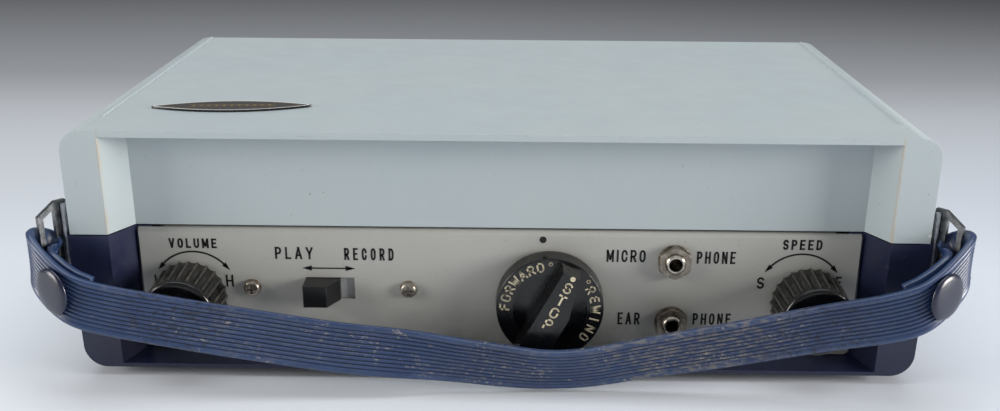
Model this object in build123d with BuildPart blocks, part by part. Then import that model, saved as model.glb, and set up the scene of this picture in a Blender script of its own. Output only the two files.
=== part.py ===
"""Miniature reel-to-reel tape recorder in a portable case, with a carrying strap.

Frame: X to the right, Y to the back, Z up, millimetres.  The origin is on the surface that the
recorder stands on, in the middle of its footprint.  The controls face -Y.
"""
import os
from math import cos, degrees, radians, sin

from build123d import *

# ---------------------------------------------------------------- driving dimensions
CASE_DEPTH = 131.6
LID_WIDTH = 218.2
BASE_WIDTH = 219.7           # at the seam
BASE_WIDTH_LOW = 218.5       # at the bottom
TOP_Z = 66.7
SPLIT_Z = 39.3               # top edge of the base
SEAM = 0.3                   # gap between base and lid
FOOT_HEIGHT = 2.5
WALL = 2.2
LID_RADIUS = 5.5
BASE_RADIUS = 6.0
RECESS_DEPTH = 8.9           # front face back to the recess wall
CHEEK_FRONT = 99.4           # half width of the recess at the front face
CHEEK_BACK = 94.9            # half width of the recess at its wall
PANEL_THICK = 1.0
KNOB_LENGTH = 15.0           # volume and speed knobs, panel to nose
HINGE_OFFSET = 2.6           # lid hinge axis behind the case
KNUCKLE_RADIUS = 2.2

KNOB_REACH = KNOB_LENGTH - (RECESS_DEPTH - PANEL_THICK)
FRONT = -(CASE_DEPTH + HINGE_OFFSET + KNUCKLE_RADIUS - KNOB_REACH) / 2
BACK = FRONT + CASE_DEPTH
RECESS = FRONT + RECESS_DEPTH
PANEL_FACE = RECESS - PANEL_THICK
FLOOR_Z = FOOT_HEIGHT + WALL
LID_Z = SPLIT_Z + SEAM

# deck and transport
DECK_Z = 36.5
DECK_THICK = 1.5
DECK_TOP = DECK_Z + DECK_THICK
REEL_X = 41.5
REEL_Y = FRONT + 89.4
REEL_RADIUS = 38.0
PLATTER_Z = DECK_TOP + 1.5
PLATTER_THICK = 4.0
PLATTER_RADIUS = 35.0
REEL_Z = PLATTER_Z + PLATTER_THICK + 0.5
FLANGE = 1.0
REEL_GAP = 7.5
TAPE_Z = REEL_Z + FLANGE + REEL_GAP / 2
TAPE_WIDTH = 6.3
SUPPLY_PACK_RADIUS = 30.0
TAKEUP_PACK_RADIUS = 18.0
HEAD_FACE = FRONT + 24.0
GUIDE_X = 46.0
GUIDE_Y = FRONT + 29.0
GUIDE_RADIUS = 3.0

# function control: three detents, shown in the first one (forward)
KNOB_X = 81.5
KNOB_Z = 20.4
FUNCTION_X = 13.6
FUNCTION_Z = 19.7
FUNCTION_STEP = 26.0
CRANK_RADIUS = 8.0
PIVOT_Y = FRONT + 119.8
FORK_Y = FRONT + 26.4
MOTOR_Y = FRONT + 91.8
SWING = degrees(CRANK_RADIUS * sin(radians(FUNCTION_STEP)) / (PIVOT_Y - FORK_Y))
MOTOR_PLATE_Z = 31.0

# other controls on the panel
SWITCH_X = -44.5
SWITCH_Z = 22.5
SWITCH_SCREWS = 41.5
SLOT_WIDTH = 12.9
SLOT_HEIGHT = 6.1
SLIDER_TRAVEL = 3.7
JACK_X = 46.1
JACK_ZS = (31.3, 14.0)

# strap and its rings
STRAP_THICK = 1.8
RING_X = 111.4
RING_Y = FRONT + 3.6
RING_Z = (22.3, 47.9)
RING_ANGLE = 50.0            # ring plane, turned forward from straight out
RING_PIN = 0.6
BARREL = 1.15

RUNNING = 0.06               # radial clearance of shafts in their bores

os.makedirs("parts", exist_ok=True)


def save(piece, name):
    """Label a finished sub-part and write its STEP file."""
    piece.label = name
    export_step(piece, f"parts/{name}.step")


def facing_front(y):
    """A sketch plane at depth y whose normal points at the user (-Y) and whose Y is up."""
    return Plane.XZ.offset(-y)


# ---------------------------------------------------------------- case
def recess_cutter(z_front, z_back, z_top):
    """The bevelled control recess: a trapezoid in plan over a floor that rises to the back."""
    with BuildPart() as cutter:
        with BuildSketch(Plane.XY.offset(z_front - 1)):
            with BuildLine():
                Polyline(
                    (-CHEEK_FRONT, FRONT - 1),
                    (-CHEEK_FRONT, FRONT),
                    (-CHEEK_BACK, RECESS),
                    (CHEEK_BACK, RECESS),
                    (CHEEK_FRONT, FRONT),
                    (CHEEK_FRONT, FRONT - 1),
                    close=True,
                )
            make_face()
        extrude(amount=z_top - z_front + 1)
        with BuildSketch(Plane.YZ):
            with BuildLine():
                Polyline(
                    (FRONT - 1, z_front),
                    (FRONT, z_front),
                    (RECESS, z_back),
                    (RECESS, z_top),
                    (FRONT - 1, z_top),
                    close=True,
                )
            make_face()
        extrude(amount=CHEEK_FRONT, both=True, mode=Mode.INTERSECT)
    return cutter.part


def case_cavity(half_low, half_high, z_low, z_high, radius, rounded_top):
    """The hollow of a case half: the plan outline and the end profile, both one wall inside."""
    with BuildPart() as cavity:
        with BuildSketch(Plane.XY.offset(z_low)):
            with BuildLine():
                Polyline(
                    (-LID_WIDTH / 2, FRONT),
                    (-CHEEK_FRONT, FRONT),
                    (-CHEEK_BACK, RECESS),
                    (CHEEK_BACK, RECESS),
                    (CHEEK_FRONT, FRONT),
                    (LID_WIDTH / 2, FRONT),
                    (LID_WIDTH / 2, BACK),
                    (-LID_WIDTH / 2, BACK),
                    close=True,
                )
            make_face()
            offset(amount=-WALL, kind=Kind.INTERSECTION, mode=Mode.REPLACE)
        extrude(amount=z_high - z_low)
        with BuildSketch(Plane.XZ):
            with BuildLine():
                Polyline(
                    (-half_low, z_low),
                    (half_low, z_low),
                    (half_high, z_high),
                    (-half_high, z_high),
                    close=True,
                )
            make_face()
            ends = vertices().group_by(Axis.Y)[-1 if rounded_top else 0]
            fillet(ends, radius=radius)
        extrude(amount=CASE_DEPTH, both=True, mode=Mode.INTERSECT)
    return cavity.part


HINGE_Y = BACK + HINGE_OFFSET
HINGE_Z = SPLIT_Z + SEAM / 2
HINGE_X = 70.0
LID_KNUCKLE = 10.0
BASE_KNUCKLE = 8.0
KNUCKLE_GAP = 0.4
HINGE_PIN = 1.2

RIVETS = [(FRONT + 15.5, z) for z in (27.5, 34.0)]
RIVET_SHANK = 1.0
DECK_POSTS = [(sx * 101.0, FRONT + dy) for sx in (-1, 1) for dy in (22.0, 58.0, 124.0)]
POST_RADIUS = 3.5
FEET = [(sx * 95.0, sy) for sx in (-1, 1) for sy in (FRONT + 14.0, BACK - 14.0)]
SPEAKER_X = -66.0
SPEAKER_Y = FRONT + 84.0
SPEAKER_RADIUS = 28.5
BATTERY_X = 67.0
BATTERY_Y = FRONT + 96.5
BAY = (54.0, 56.0)           # opening in the floor over the battery door
DOOR_WIDTH = 62.0
DOOR_THICK = 1.2
DOOR_START = FRONT + 65.5
DOVETAIL = 0.8

base_recess = recess_cutter(3.6, 4.9, TOP_Z)
base_hollow = case_cavity(
    BASE_WIDTH_LOW / 2 - WALL, BASE_WIDTH / 2 - WALL, FLOOR_Z, SPLIT_Z + 1, BASE_RADIUS - WALL, False
)


def door_profile(clearance):
    """Dovetail section of the battery door, wider at the top so that it can't drop out."""
    half = DOOR_WIDTH / 2 - clearance
    return [
        (BATTERY_X - half + DOVETAIL, FOOT_HEIGHT),
        (BATTERY_X + half - DOVETAIL, FOOT_HEIGHT),
        (BATTERY_X + half, FOOT_HEIGHT + DOOR_THICK - clearance),
        (BATTERY_X - half, FOOT_HEIGHT + DOOR_THICK - clearance),
    ]


with BuildPart() as base_tub:
    with BuildSketch(facing_front(BACK)):
        with BuildLine():
            Polyline(
                (-BASE_WIDTH_LOW / 2, FOOT_HEIGHT),
                (BASE_WIDTH_LOW / 2, FOOT_HEIGHT),
                (BASE_WIDTH / 2, SPLIT_Z),
                (-BASE_WIDTH / 2, SPLIT_Z),
                close=True,
            )
        make_face()
        fillet(vertices().group_by(Axis.Y)[0], radius=BASE_RADIUS)
    extrude(amount=CASE_DEPTH)
    add(base_recess, mode=Mode.SUBTRACT)
    add(base_hollow, mode=Mode.SUBTRACT)
    # opening behind the control panel, open at the top for the panel's flange
    with BuildSketch(facing_front(RECESS + WALL + 0.5)):
        with Locations((0, (9.0 + SPLIT_Z + 1) / 2)):
            Rectangle(182.0, SPLIT_Z + 1 - 9.0)
    extrude(amount=WALL + 1, mode=Mode.SUBTRACT)
    # posts for the deck, and the stud that the motor plate turns on
    with BuildSketch(Plane.XY.offset(FLOOR_Z - 0.5)):
        with Locations(*DECK_POSTS):
            Circle(POST_RADIUS)
    extrude(amount=DECK_Z - FLOOR_Z + 0.5)
    with BuildSketch(Plane.XY.offset(DECK_Z)):
        with Locations(*DECK_POSTS):
            Circle(1.25)
    extrude(amount=-12.0, mode=Mode.SUBTRACT)
    with BuildSketch(Plane.XY.offset(FLOOR_Z - 0.5)):
        with Locations((0, PIVOT_Y)):
            Circle(4.0)
    extrude(amount=MOTOR_PLATE_Z - 0.2 - FLOOR_Z + 0.5)
    with BuildSketch(Plane.XY.offset(MOTOR_PLATE_Z - 1)):
        with Locations((0, PIVOT_Y)):
            Circle(1.5)
    extrude(amount=4.5)
    # rivet holes for the strap brackets, through both side walls
    for y, z in RIVETS:
        with BuildSketch(Plane.YZ) as hole:
            with Locations((y, z)):
                Circle(RIVET_SHANK)
        extrude(hole.sketch, amount=BASE_WIDTH, both=True, mode=Mode.SUBTRACT)
    # speaker slots in the floor
    with BuildSketch(Plane.XY.offset(FOOT_HEIGHT)):
        for row in range(-3, 4):
            run = 2 * (23.0**2 - (7.0 * row) ** 2) ** 0.5
            with Locations((SPEAKER_X, SPEAKER_Y + 7.0 * row)):
                SlotOverall(max(run, 12.0), 3.0)
    extrude(amount=WALL, mode=Mode.SUBTRACT)
    # battery bay opening and the dovetail channel of its door
    with BuildSketch(Plane.XY.offset(FOOT_HEIGHT)):
        with Locations((BATTERY_X, BATTERY_Y)):
            Rectangle(*BAY)
    extrude(amount=WALL, mode=Mode.SUBTRACT)
    with BuildSketch(facing_front(BACK + 1)):
        with BuildLine():
            Polyline(*door_profile(0.0), close=True)
        make_face()
    extrude(amount=BACK + 1 - DOOR_START, mode=Mode.SUBTRACT)
    # hinge knuckles on the back wall
    for side in (-1, 1):
        for end in (-1, 1):
            middle = side * HINGE_X + end * (LID_KNUCKLE / 2 + KNUCKLE_GAP + BASE_KNUCKLE / 2)
            with BuildSketch(Plane.YZ.offset(middle)):
                with Locations((HINGE_Y, HINGE_Z)):
                    Circle(KNUCKLE_RADIUS)
                with BuildLine():
                    Polyline(
                        (BACK - 1, SPLIT_Z - 5),
                        (BACK, SPLIT_Z - 5),
                        (HINGE_Y + 1.6, HINGE_Z - 1.5),
                        (HINGE_Y, SPLIT_Z),
                        (BACK - 1, SPLIT_Z),
                        close=True,
                    )
                make_face()
            extrude(amount=BASE_KNUCKLE / 2, both=True)
            with BuildSketch(Plane.YZ.offset(middle)):
                with Locations((HINGE_Y, HINGE_Z)):
                    Circle(HINGE_PIN)
            extrude(amount=BASE_KNUCKLE / 2, both=True, mode=Mode.SUBTRACT)
save(base_tub.part, "base_tub")

with BuildPart() as battery_door:
    with BuildSketch(facing_front(BACK)):
        with BuildLine():
            Polyline(*door_profile(0.12), close=True)
        make_face()
    extrude(amount=BACK - DOOR_START - 0.2)
    # finger grooves
    with BuildSketch(Plane.XY.offset(FOOT_HEIGHT)):
        for row in range(4):
            with Locations((BATTERY_X, DOOR_START + 12 + 3.0 * row)):
                SlotOverall(22.0, 1.4)
    extrude(amount=0.5, mode=Mode.SUBTRACT)
save(battery_door.part, "battery_door")

with BuildPart() as rubber_feet:
    with BuildSketch(Plane.XY):
        with Locations(*FEET):
            Circle(4.6)
    extrude(amount=FOOT_HEIGHT)
    chamfer(faces().sort_by(Axis.Z)[:4].edges(), length=0.5)
save(rubber_feet.part, "rubber_feet")

BADGE_X = -71.5
BADGE_Y = FRONT + 26.0
BADGE_LENGTH = 42.4
BADGE_WIDTH = 10.6
BADGE_TURN = 4.5
BADGE_THICK = 0.6

lid_recess = recess_cutter(LID_Z - 1, LID_Z - 1, TOP_Z - 1.7)
lid_hollow = case_cavity(
    LID_WIDTH / 2 - WALL, LID_WIDTH / 2 - WALL, LID_Z - 1, TOP_Z - WALL, LID_RADIUS - WALL, True
)

with BuildPart() as lid_shell:
    with BuildSketch(facing_front(BACK)):
        with BuildLine():
            Polyline(
                (-LID_WIDTH / 2, LID_Z),
                (LID_WIDTH / 2, LID_Z),
                (LID_WIDTH / 2, TOP_Z),
                (-LID_WIDTH / 2, TOP_Z),
                close=True,
            )
        make_face()
        fillet(vertices().group_by(Axis.Y)[-1], radius=LID_RADIUS)
    extrude(amount=CASE_DEPTH)
    add(lid_recess, mode=Mode.SUBTRACT)
    add(lid_hollow, mode=Mode.SUBTRACT)
    # two thin raised lines that run from near the front to the back edge
    with BuildSketch(Plane.XY.offset(TOP_Z - 0.3)):
        for side in (-1, 1):
            with Locations((side * 102.6, (FRONT + 14.4 + BACK - 0.2) / 2)):
                Rectangle(0.7, CASE_DEPTH - 14.4 - 0.2)
    extrude(amount=0.55)
    # hinge knuckles
    for side in (-1, 1):
        with BuildSketch(Plane.YZ.offset(side * HINGE_X)):
            with Locations((HINGE_Y, HINGE_Z)):
                Circle(KNUCKLE_RADIUS)
            with BuildLine():
                Polyline(
                    (BACK - 1, LID_Z),
                    (HINGE_Y, LID_Z),
                    (HINGE_Y + 1.6, HINGE_Z + 1.5),
                    (BACK, LID_Z + 5),
                    (BACK - 1, LID_Z + 5),
                    close=True,
                )
            make_face()
        extrude(amount=LID_KNUCKLE / 2, both=True)
        with BuildSketch(Plane.YZ.offset(side * HINGE_X)):
            with Locations((HINGE_Y, HINGE_Z)):
                Circle(HINGE_PIN + RUNNING)
        extrude(amount=LID_KNUCKLE / 2, both=True, mode=Mode.SUBTRACT)
save(lid_shell.part, "lid_shell")

badge_plane = Plane(
    origin=(BADGE_X, BADGE_Y, TOP_Z),
    x_dir=(cos(radians(BADGE_TURN)), sin(radians(BADGE_TURN)), 0),
    z_dir=(0, 0, 1),
)
with BuildPart() as lid_badge:
    with BuildSketch(badge_plane):
        with BuildLine():
            ThreePointArc((-BADGE_LENGTH / 2, 0), (0, BADGE_WIDTH / 2), (BADGE_LENGTH / 2, 0))
            ThreePointArc((BADGE_LENGTH / 2, 0), (0, -BADGE_WIDTH / 2), (-BADGE_LENGTH / 2, 0))
        make_face()
    extrude(amount=BADGE_THICK)
save(lid_badge.part, "lid_badge")

with BuildPart() as hinge_pins:
    for side in (-1, 1):
        with BuildSketch(Plane.YZ.offset(side * HINGE_X)):
            with Locations((HINGE_Y, HINGE_Z)):
                Circle(HINGE_PIN)
        extrude(amount=LID_KNUCKLE / 2 + KNUCKLE_GAP + BASE_KNUCKLE, both=True)
save(hinge_pins.part, "hinge_pins")

# ---------------------------------------------------------------- control panel
FLANGE_DEPTH = 7.0
with BuildPart() as control_panel:
    with BuildSketch(Plane.YZ):
        with BuildLine():
            FilletPolyline(
                (PANEL_FACE, 5.0),
                (PANEL_FACE, DECK_TOP + PANEL_THICK),
                (PANEL_FACE + FLANGE_DEPTH, DECK_TOP + PANEL_THICK),
                radius=1.3,
            )
            Line((PANEL_FACE + FLANGE_DEPTH, DECK_TOP + PANEL_THICK), (PANEL_FACE + FLANGE_DEPTH, DECK_TOP))
            FilletPolyline(
                (PANEL_FACE + FLANGE_DEPTH, DECK_TOP),
                (RECESS, DECK_TOP),
                (RECESS, 5.0),
                radius=0.3,
            )
            Line((RECESS, 5.0), (PANEL_FACE, 5.0))
        make_face()
    extrude(amount=94.2, both=True)
    lower_corners = edges().filter_by(Axis.Y).group_by(Axis.Z)[0]
    fillet(lower_corners, radius=1.6)
    # the flange stops short of the recess wall's posts
    with BuildSketch(Plane.XY.offset(DECK_TOP - 0.5)):
        for side in (-1, 1):
            with Locations((side * 94.2, RECESS + 6.0)):
                Rectangle(13.0, 12.0)
    extrude(amount=3.0, mode=Mode.SUBTRACT)
    with BuildSketch(facing_front(RECESS + 0.5)):
        with Locations((-KNOB_X, KNOB_Z), (KNOB_X, KNOB_Z)):
            Circle(3.55)
        with Locations((FUNCTION_X, FUNCTION_Z)):
            Circle(4.05)
        with Locations(*[(JACK_X, z) for z in JACK_ZS]):
            Circle(2.75)
        with Locations((SWITCH_X, SWITCH_Z)):
            Rectangle(SLOT_WIDTH, SLOT_HEIGHT)
        with Locations(*[(SWITCH_X + s * SWITCH_SCREWS / 2, SWITCH_Z) for s in (-1, 1)]):
            Circle(1.55)
    extrude(amount=PANEL_THICK + 1, mode=Mode.SUBTRACT)
save(control_panel.part, "control_panel")


def cylinder_y(x, z, radius, y_back, y_front):
    """Add a cylinder along Y between two depths to the part being built."""
    with BuildSketch(facing_front(y_back)) as disc:
        with Locations((x, z)):
            Circle(radius)
    extrude(disc.sketch, amount=y_back - y_front)


def bore_y(x, z, radius, y_back, y_front):
    """Cut a round hole along Y between two depths from the part being built."""
    with BuildSketch(facing_front(y_back)) as disc:
        with Locations((x, z)):
            Circle(radius)
    extrude(disc.sketch, amount=y_back - y_front, mode=Mode.SUBTRACT)


# ---------------------------------------------------------------- volume and speed controls
POT_SHAFT = 3.0
POT_DEPTH = 9.0
KNOB_GAP = 0.9
KNOB_BASE = 9.85
KNOB_NOSE = 9.25
FLUTES = 24


def potentiometer(x):
    """Can, threaded bush and three solder tags of a rotary potentiometer behind the panel."""
    with BuildPart() as pot:
        cylinder_y(x, KNOB_Z, 8.0, RECESS + POT_DEPTH + 0.1, RECESS + 0.1)
        cylinder_y(x, KNOB_Z, 3.5, RECESS + 1, PANEL_FACE - 0.6)
        with BuildSketch(Plane.XY.offset(KNOB_Z - 10.8)):
            with Locations(*[(x + 4.5 * step, RECESS + 3.0) for step in (-1, 0, 1)]):
                Rectangle(1.6, 0.6)
        extrude(amount=8.0)
        bore_y(x, KNOB_Z, POT_SHAFT + RUNNING, RECESS + POT_DEPTH - 1.5, PANEL_FACE - 2)
    return pot.part


def pot_shaft(x):
    """Turning shaft, from inside the can to the knob."""
    with BuildPart() as shaft:
        cylinder_y(x, KNOB_Z, POT_SHAFT, RECESS + POT_DEPTH - 2.5, PANEL_FACE - 11.0)
    return shaft.part


def fluted_knob(x):
    """Fluted, slightly tapered push-on knob with a rounded rim and a shaft socket."""
    with BuildPart() as knob:
        with BuildSketch(facing_front(PANEL_FACE - KNOB_GAP)):
            with Locations((x, KNOB_Z)):
                Circle(KNOB_BASE)
        with BuildSketch(facing_front(PANEL_FACE - KNOB_LENGTH)):
            with Locations((x, KNOB_Z)):
                Circle(KNOB_NOSE)
        loft()
        fillet(faces().sort_by(Axis.Y)[0].edges(), radius=0.7)
        with BuildSketch(facing_front(PANEL_FACE - KNOB_GAP)):
            with Locations((x, KNOB_Z)):
                with PolarLocations(KNOB_BASE + 0.45, FLUTES):
                    Circle(0.95)
        extrude(amount=KNOB_LENGTH - KNOB_GAP - 1.6, mode=Mode.SUBTRACT)
        bore_y(x, KNOB_Z, POT_SHAFT, PANEL_FACE - KNOB_GAP, PANEL_FACE - 11.0)
        # shallow dish in the nose
        bore_y(x, KNOB_Z, 7.6, PANEL_FACE - KNOB_LENGTH + 0.35, PANEL_FACE - KNOB_LENGTH - 1)
    return knob.part


for side, control in ((-1, "volume"), (1, "speed")):
    save(potentiometer(side * KNOB_X), f"{control}_pot")
    save(pot_shaft(side * KNOB_X), f"{control}_shaft")
    save(fluted_knob(side * KNOB_X), f"{control}_knob")

# ---------------------------------------------------------------- function control
FUNCTION_RADIUS = 14.3
FUNCTION_RIM = 6.2           # panel to the lettered ring
FUNCTION_NOSE = 13.0         # panel to the top of the grip bar
FUNCTION_SHAFT = 3.0
CAM_FRONT = FRONT + 19.5
CAM_THICK = 3.0
CRANK_PIN = 1.25


def on_knob(angle, radius):
    """Point at a clockwise angle from the top of the function knob, seen from the front."""
    return (FUNCTION_X + radius * sin(radians(angle)), FUNCTION_Z + radius * cos(radians(angle)))


def bar_point(along, across):
    """Point on the grip bar, along its pointing direction and to its right."""
    x = FUNCTION_X + along * sin(radians(FUNCTION_STEP)) + across * cos(radians(FUNCTION_STEP))
    z = FUNCTION_Z + along * cos(radians(FUNCTION_STEP)) - across * sin(radians(FUNCTION_STEP))
    return (x, z)


with BuildPart() as function_bushing:
    cylinder_y(FUNCTION_X, FUNCTION_Z, 4.0, RECESS + 3.5, PANEL_FACE - 0.5)
    with BuildSketch(facing_front(RECESS + 2.1)):
        with Locations((FUNCTION_X, FUNCTION_Z)):
            RegularPolygon(radius=6.2, side_count=6)
    extrude(amount=2.0)
    bore_y(FUNCTION_X, FUNCTION_Z, FUNCTION_SHAFT + RUNNING, RECESS + 4, PANEL_FACE - 1)
save(function_bushing.part, "function_bushing")

with BuildPart() as function_shaft:
    cylinder_y(FUNCTION_X, FUNCTION_Z, FUNCTION_SHAFT, CAM_FRONT + CAM_THICK, PANEL_FACE - 5.0)
save(function_shaft.part, "function_shaft")

with BuildPart() as function_knob:
    with BuildSketch(facing_front(PANEL_FACE - 0.9)):
        with Locations((FUNCTION_X, FUNCTION_Z)):
            Circle(FUNCTION_RADIUS)
    with BuildSketch(facing_front(PANEL_FACE - FUNCTION_RIM)):
        with Locations((FUNCTION_X, FUNCTION_Z)):
            Circle(FUNCTION_RADIUS - 0.3)
    loft()
    fillet(faces().sort_by(Axis.Y)[0].edges(), radius=0.3)
    # dished centre inside the lettered ring
    with BuildSketch(facing_front(PANEL_FACE - FUNCTION_RIM)):
        with Locations((FUNCTION_X, FUNCTION_Z)):
            Circle(9.7)
    extrude(amount=-1.4, mode=Mode.SUBTRACT)
    # tapered grip bar across the knob, narrow at the pointing end
    with BuildSketch(facing_front(PANEL_FACE - FUNCTION_RIM + 2.0)):
        with BuildLine():
            Polyline(
                bar_point(13.4, -3.4),
                bar_point(13.7, 2.2),
                bar_point(2.0, 4.9),
                bar_point(-13.0, 4.4),
                bar_point(-13.0, -4.6),
                close=True,
            )
        make_face()
    extrude(amount=FUNCTION_NOSE - FUNCTION_RIM + 2.0, taper=4)
    bore_y(FUNCTION_X, FUNCTION_Z, FUNCTION_SHAFT, PANEL_FACE - 0.9, PANEL_FACE - 5.0)
save(function_knob.part, "function_knob")

crank = on_knob(FUNCTION_STEP, CRANK_RADIUS)
with BuildPart() as function_cam:
    cylinder_y(FUNCTION_X, FUNCTION_Z, 10.4, CAM_FRONT + CAM_THICK, CAM_FRONT)
    bore_y(FUNCTION_X, FUNCTION_Z, FUNCTION_SHAFT, CAM_FRONT + CAM_THICK, CAM_FRONT)
    # three detent notches on the lower edge
    with BuildSketch(facing_front(CAM_FRONT + CAM_THICK)):
        with Locations(*[on_knob(180 + FUNCTION_STEP * step, 10.9) for step in (0, 1, 2)]):
            Circle(1.6)
    extrude(amount=CAM_THICK, mode=Mode.SUBTRACT)
    cylinder_y(*crank, CRANK_PIN, FORK_Y + 2.4, CAM_FRONT + CAM_THICK - 0.5)
save(function_cam.part, "function_cam")

with BuildPart() as detent_spring:
    # leaf that bears up into the cam's notch, screwed to a foot on the floor
    with BuildSketch(facing_front(CAM_FRONT + 2.5)):
        with BuildLine():
            FilletPolyline(
                (FUNCTION_X - 16.0, FLOOR_Z),
                (FUNCTION_X - 16.0, FLOOR_Z + 2.2),
                (FUNCTION_X - 3.0, FLOOR_Z + 3.2),
                (FUNCTION_X, FLOOR_Z + 4.2),
                (FUNCTION_X + 3.0, FLOOR_Z + 3.2),
                radius=0.6,
            )
            Line((FUNCTION_X + 3.0, FLOOR_Z + 3.2), (FUNCTION_X + 3.0, FLOOR_Z + 2.7))
            FilletPolyline(
                (FUNCTION_X + 3.0, FLOOR_Z + 2.7),
                (FUNCTION_X, FLOOR_Z + 3.7),
                (FUNCTION_X - 3.0, FLOOR_Z + 2.7),
                (FUNCTION_X - 15.5, FLOOR_Z + 1.6),
                (FUNCTION_X - 15.5, FLOOR_Z + 0.5),
                (FUNCTION_X - 10.0, FLOOR_Z + 0.5),
                radius=0.3,
            )
            Line((FUNCTION_X - 10.0, FLOOR_Z + 0.5), (FUNCTION_X - 10.0, FLOOR_Z))
            Line((FUNCTION_X - 10.0, FLOOR_Z), (FUNCTION_X - 16.0, FLOOR_Z))
        make_face()
    extrude(amount=2.0)
save(detent_spring.part, "detent_spring")

# ---------------------------------------------------------------- play and record switch
SLIDER_LEFT = SWITCH_X - SLOT_WIDTH / 2 + 0.1
SLIDER_WIDTH = SLOT_WIDTH - SLIDER_TRAVEL - 0.2
SLIDER_REACH = 6.6

with BuildPart() as switch_body:
    with BuildSketch(facing_front(RECESS + 9.0)):
        with Locations((SWITCH_X, SWITCH_Z)):
            Rectangle(32.0, 11.0)
    extrude(amount=9.0)
    with BuildSketch(facing_front(RECESS + 1.0)):
        with Locations((SWITCH_X, SWITCH_Z)):
            SlotOverall(SWITCH_SCREWS + 7.0, 7.0)
    extrude(amount=1.0)
    # channel for the slider
    with BuildSketch(facing_front(RECESS + 4.6)):
        with Locations((SWITCH_X, SWITCH_Z)):
            Rectangle(27.0, 7.4)
    extrude(amount=3.6, mode=Mode.SUBTRACT)
    with BuildSketch(facing_front(RECESS + 1.5)):
        with Locations((SWITCH_X, SWITCH_Z)):
            Rectangle(SLOT_WIDTH + 0.6, SLOT_HEIGHT + 0.4)
    extrude(amount=2.0, mode=Mode.SUBTRACT)
    with BuildSketch(facing_front(RECESS + 1.5)):
        with Locations(*[(SWITCH_X + s * SWITCH_SCREWS / 2, SWITCH_Z) for s in (-1, 1)]):
            Circle(1.25)
    extrude(amount=2.0, mode=Mode.SUBTRACT)
    # solder tags
    with BuildSketch(facing_front(RECESS + 12.0)):
        for z in (-3.0, 3.0):
            with Locations(*[(SWITCH_X + 6.0 * step, SWITCH_Z + z) for step in (-2, -1, 0, 1, 2)]):
                Rectangle(1.4, 0.6)
    extrude(amount=3.5)
save(switch_body.part, "switch_body")

with BuildPart() as switch_slider:
    # sliding plate, which shows in the slot beside the button
    with BuildSketch(facing_front(RECESS + 4.2)):
        with Locations((SWITCH_X - SLIDER_TRAVEL / 2, SWITCH_Z)):
            Rectangle(22.5, 6.8)
    extrude(amount=2.8)
    # button: square at the left, sloping on the side it is pushed from
    with BuildSketch(Plane.XY.offset(SWITCH_Z - SLOT_HEIGHT / 2 + 0.15)):
        with BuildLine():
            FilletPolyline(
                (SLIDER_LEFT, RECESS + 2.0),
                (SLIDER_LEFT, PANEL_FACE - SLIDER_REACH),
                (SLIDER_LEFT + SLIDER_WIDTH - 2.8, PANEL_FACE - SLIDER_REACH),
                (SLIDER_LEFT + SLIDER_WIDTH, PANEL_FACE - 1.0),
                (SLIDER_LEFT + SLIDER_WIDTH, RECESS + 2.0),
                radius=0.35,
            )
            Line((SLIDER_LEFT + SLIDER_WIDTH, RECESS + 2.0), (SLIDER_LEFT, RECESS + 2.0))
        make_face()
    extrude(amount=SLOT_HEIGHT - 0.3)
save(switch_slider.part, "switch_slider")


def phillips_screw_front(x, z):
    """Domed cross-slot screw through the panel, added to the part being built."""
    cylinder_y(x, z, 1.2, RECESS + 5.5, PANEL_FACE)
    with BuildSketch(facing_front(PANEL_FACE)) as head:
        with Locations((x, z)):
            Circle(2.4)
    extrude(head.sketch, amount=1.7, taper=16)


with BuildPart() as switch_screws:
    for side in (-1, 1):
        phillips_screw_front(SWITCH_X + side * SWITCH_SCREWS / 2, SWITCH_Z)
    heads = faces().filter_by(GeomType.PLANE).group_by(Axis.Y)[0].edges()
    fillet(heads, radius=0.6)
    for side in (-1, 1):
        x = SWITCH_X + side * SWITCH_SCREWS / 2
        with BuildSketch(facing_front(PANEL_FACE - 2.0)):
            with Locations((x, SWITCH_Z)):
                Rectangle(2.6, 0.6)
                Rectangle(0.6, 2.6)
        extrude(amount=-1.3, mode=Mode.SUBTRACT)
save(switch_screws.part, "switch_screws")

# ---------------------------------------------------------------- jacks
JACK_BORE = 1.8
JACK_BUSH = 2.65
for z, name in zip(JACK_ZS, ("microphone_jack", "earphone_jack")):
    with BuildPart() as jack:
        with BuildSketch(facing_front(RECESS + 13.0)):
            with Locations((JACK_X, z)):
                Rectangle(9.5, 9.5)
        extrude(amount=13.0)
        fillet(edges().filter_by(Axis.Y), radius=0.8)
        cylinder_y(JACK_X, z, JACK_BUSH, RECESS + 0.5, PANEL_FACE - 3.5)
        chamfer(faces().sort_by(Axis.Y)[0].edges(), length=0.4)
        bore_y(JACK_X, z, JACK_BORE, RECESS + 11.5, PANEL_FACE - 4)
        with BuildSketch(facing_front(RECESS + 16.0)):
            with Locations(*[(JACK_X + 3.0 * step, z) for step in (-1, 0, 1)]):
                Rectangle(1.4, 0.5)
        extrude(amount=3.5)
    save(jack.part, name)

with BuildPart() as jack_washers:
    for z in JACK_ZS:
        cylinder_y(JACK_X, z, 4.4, PANEL_FACE, PANEL_FACE - 0.5)
        bore_y(JACK_X, z, JACK_BUSH + 0.05, PANEL_FACE + 1, PANEL_FACE - 1)
save(jack_washers.part, "jack_washers")

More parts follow.
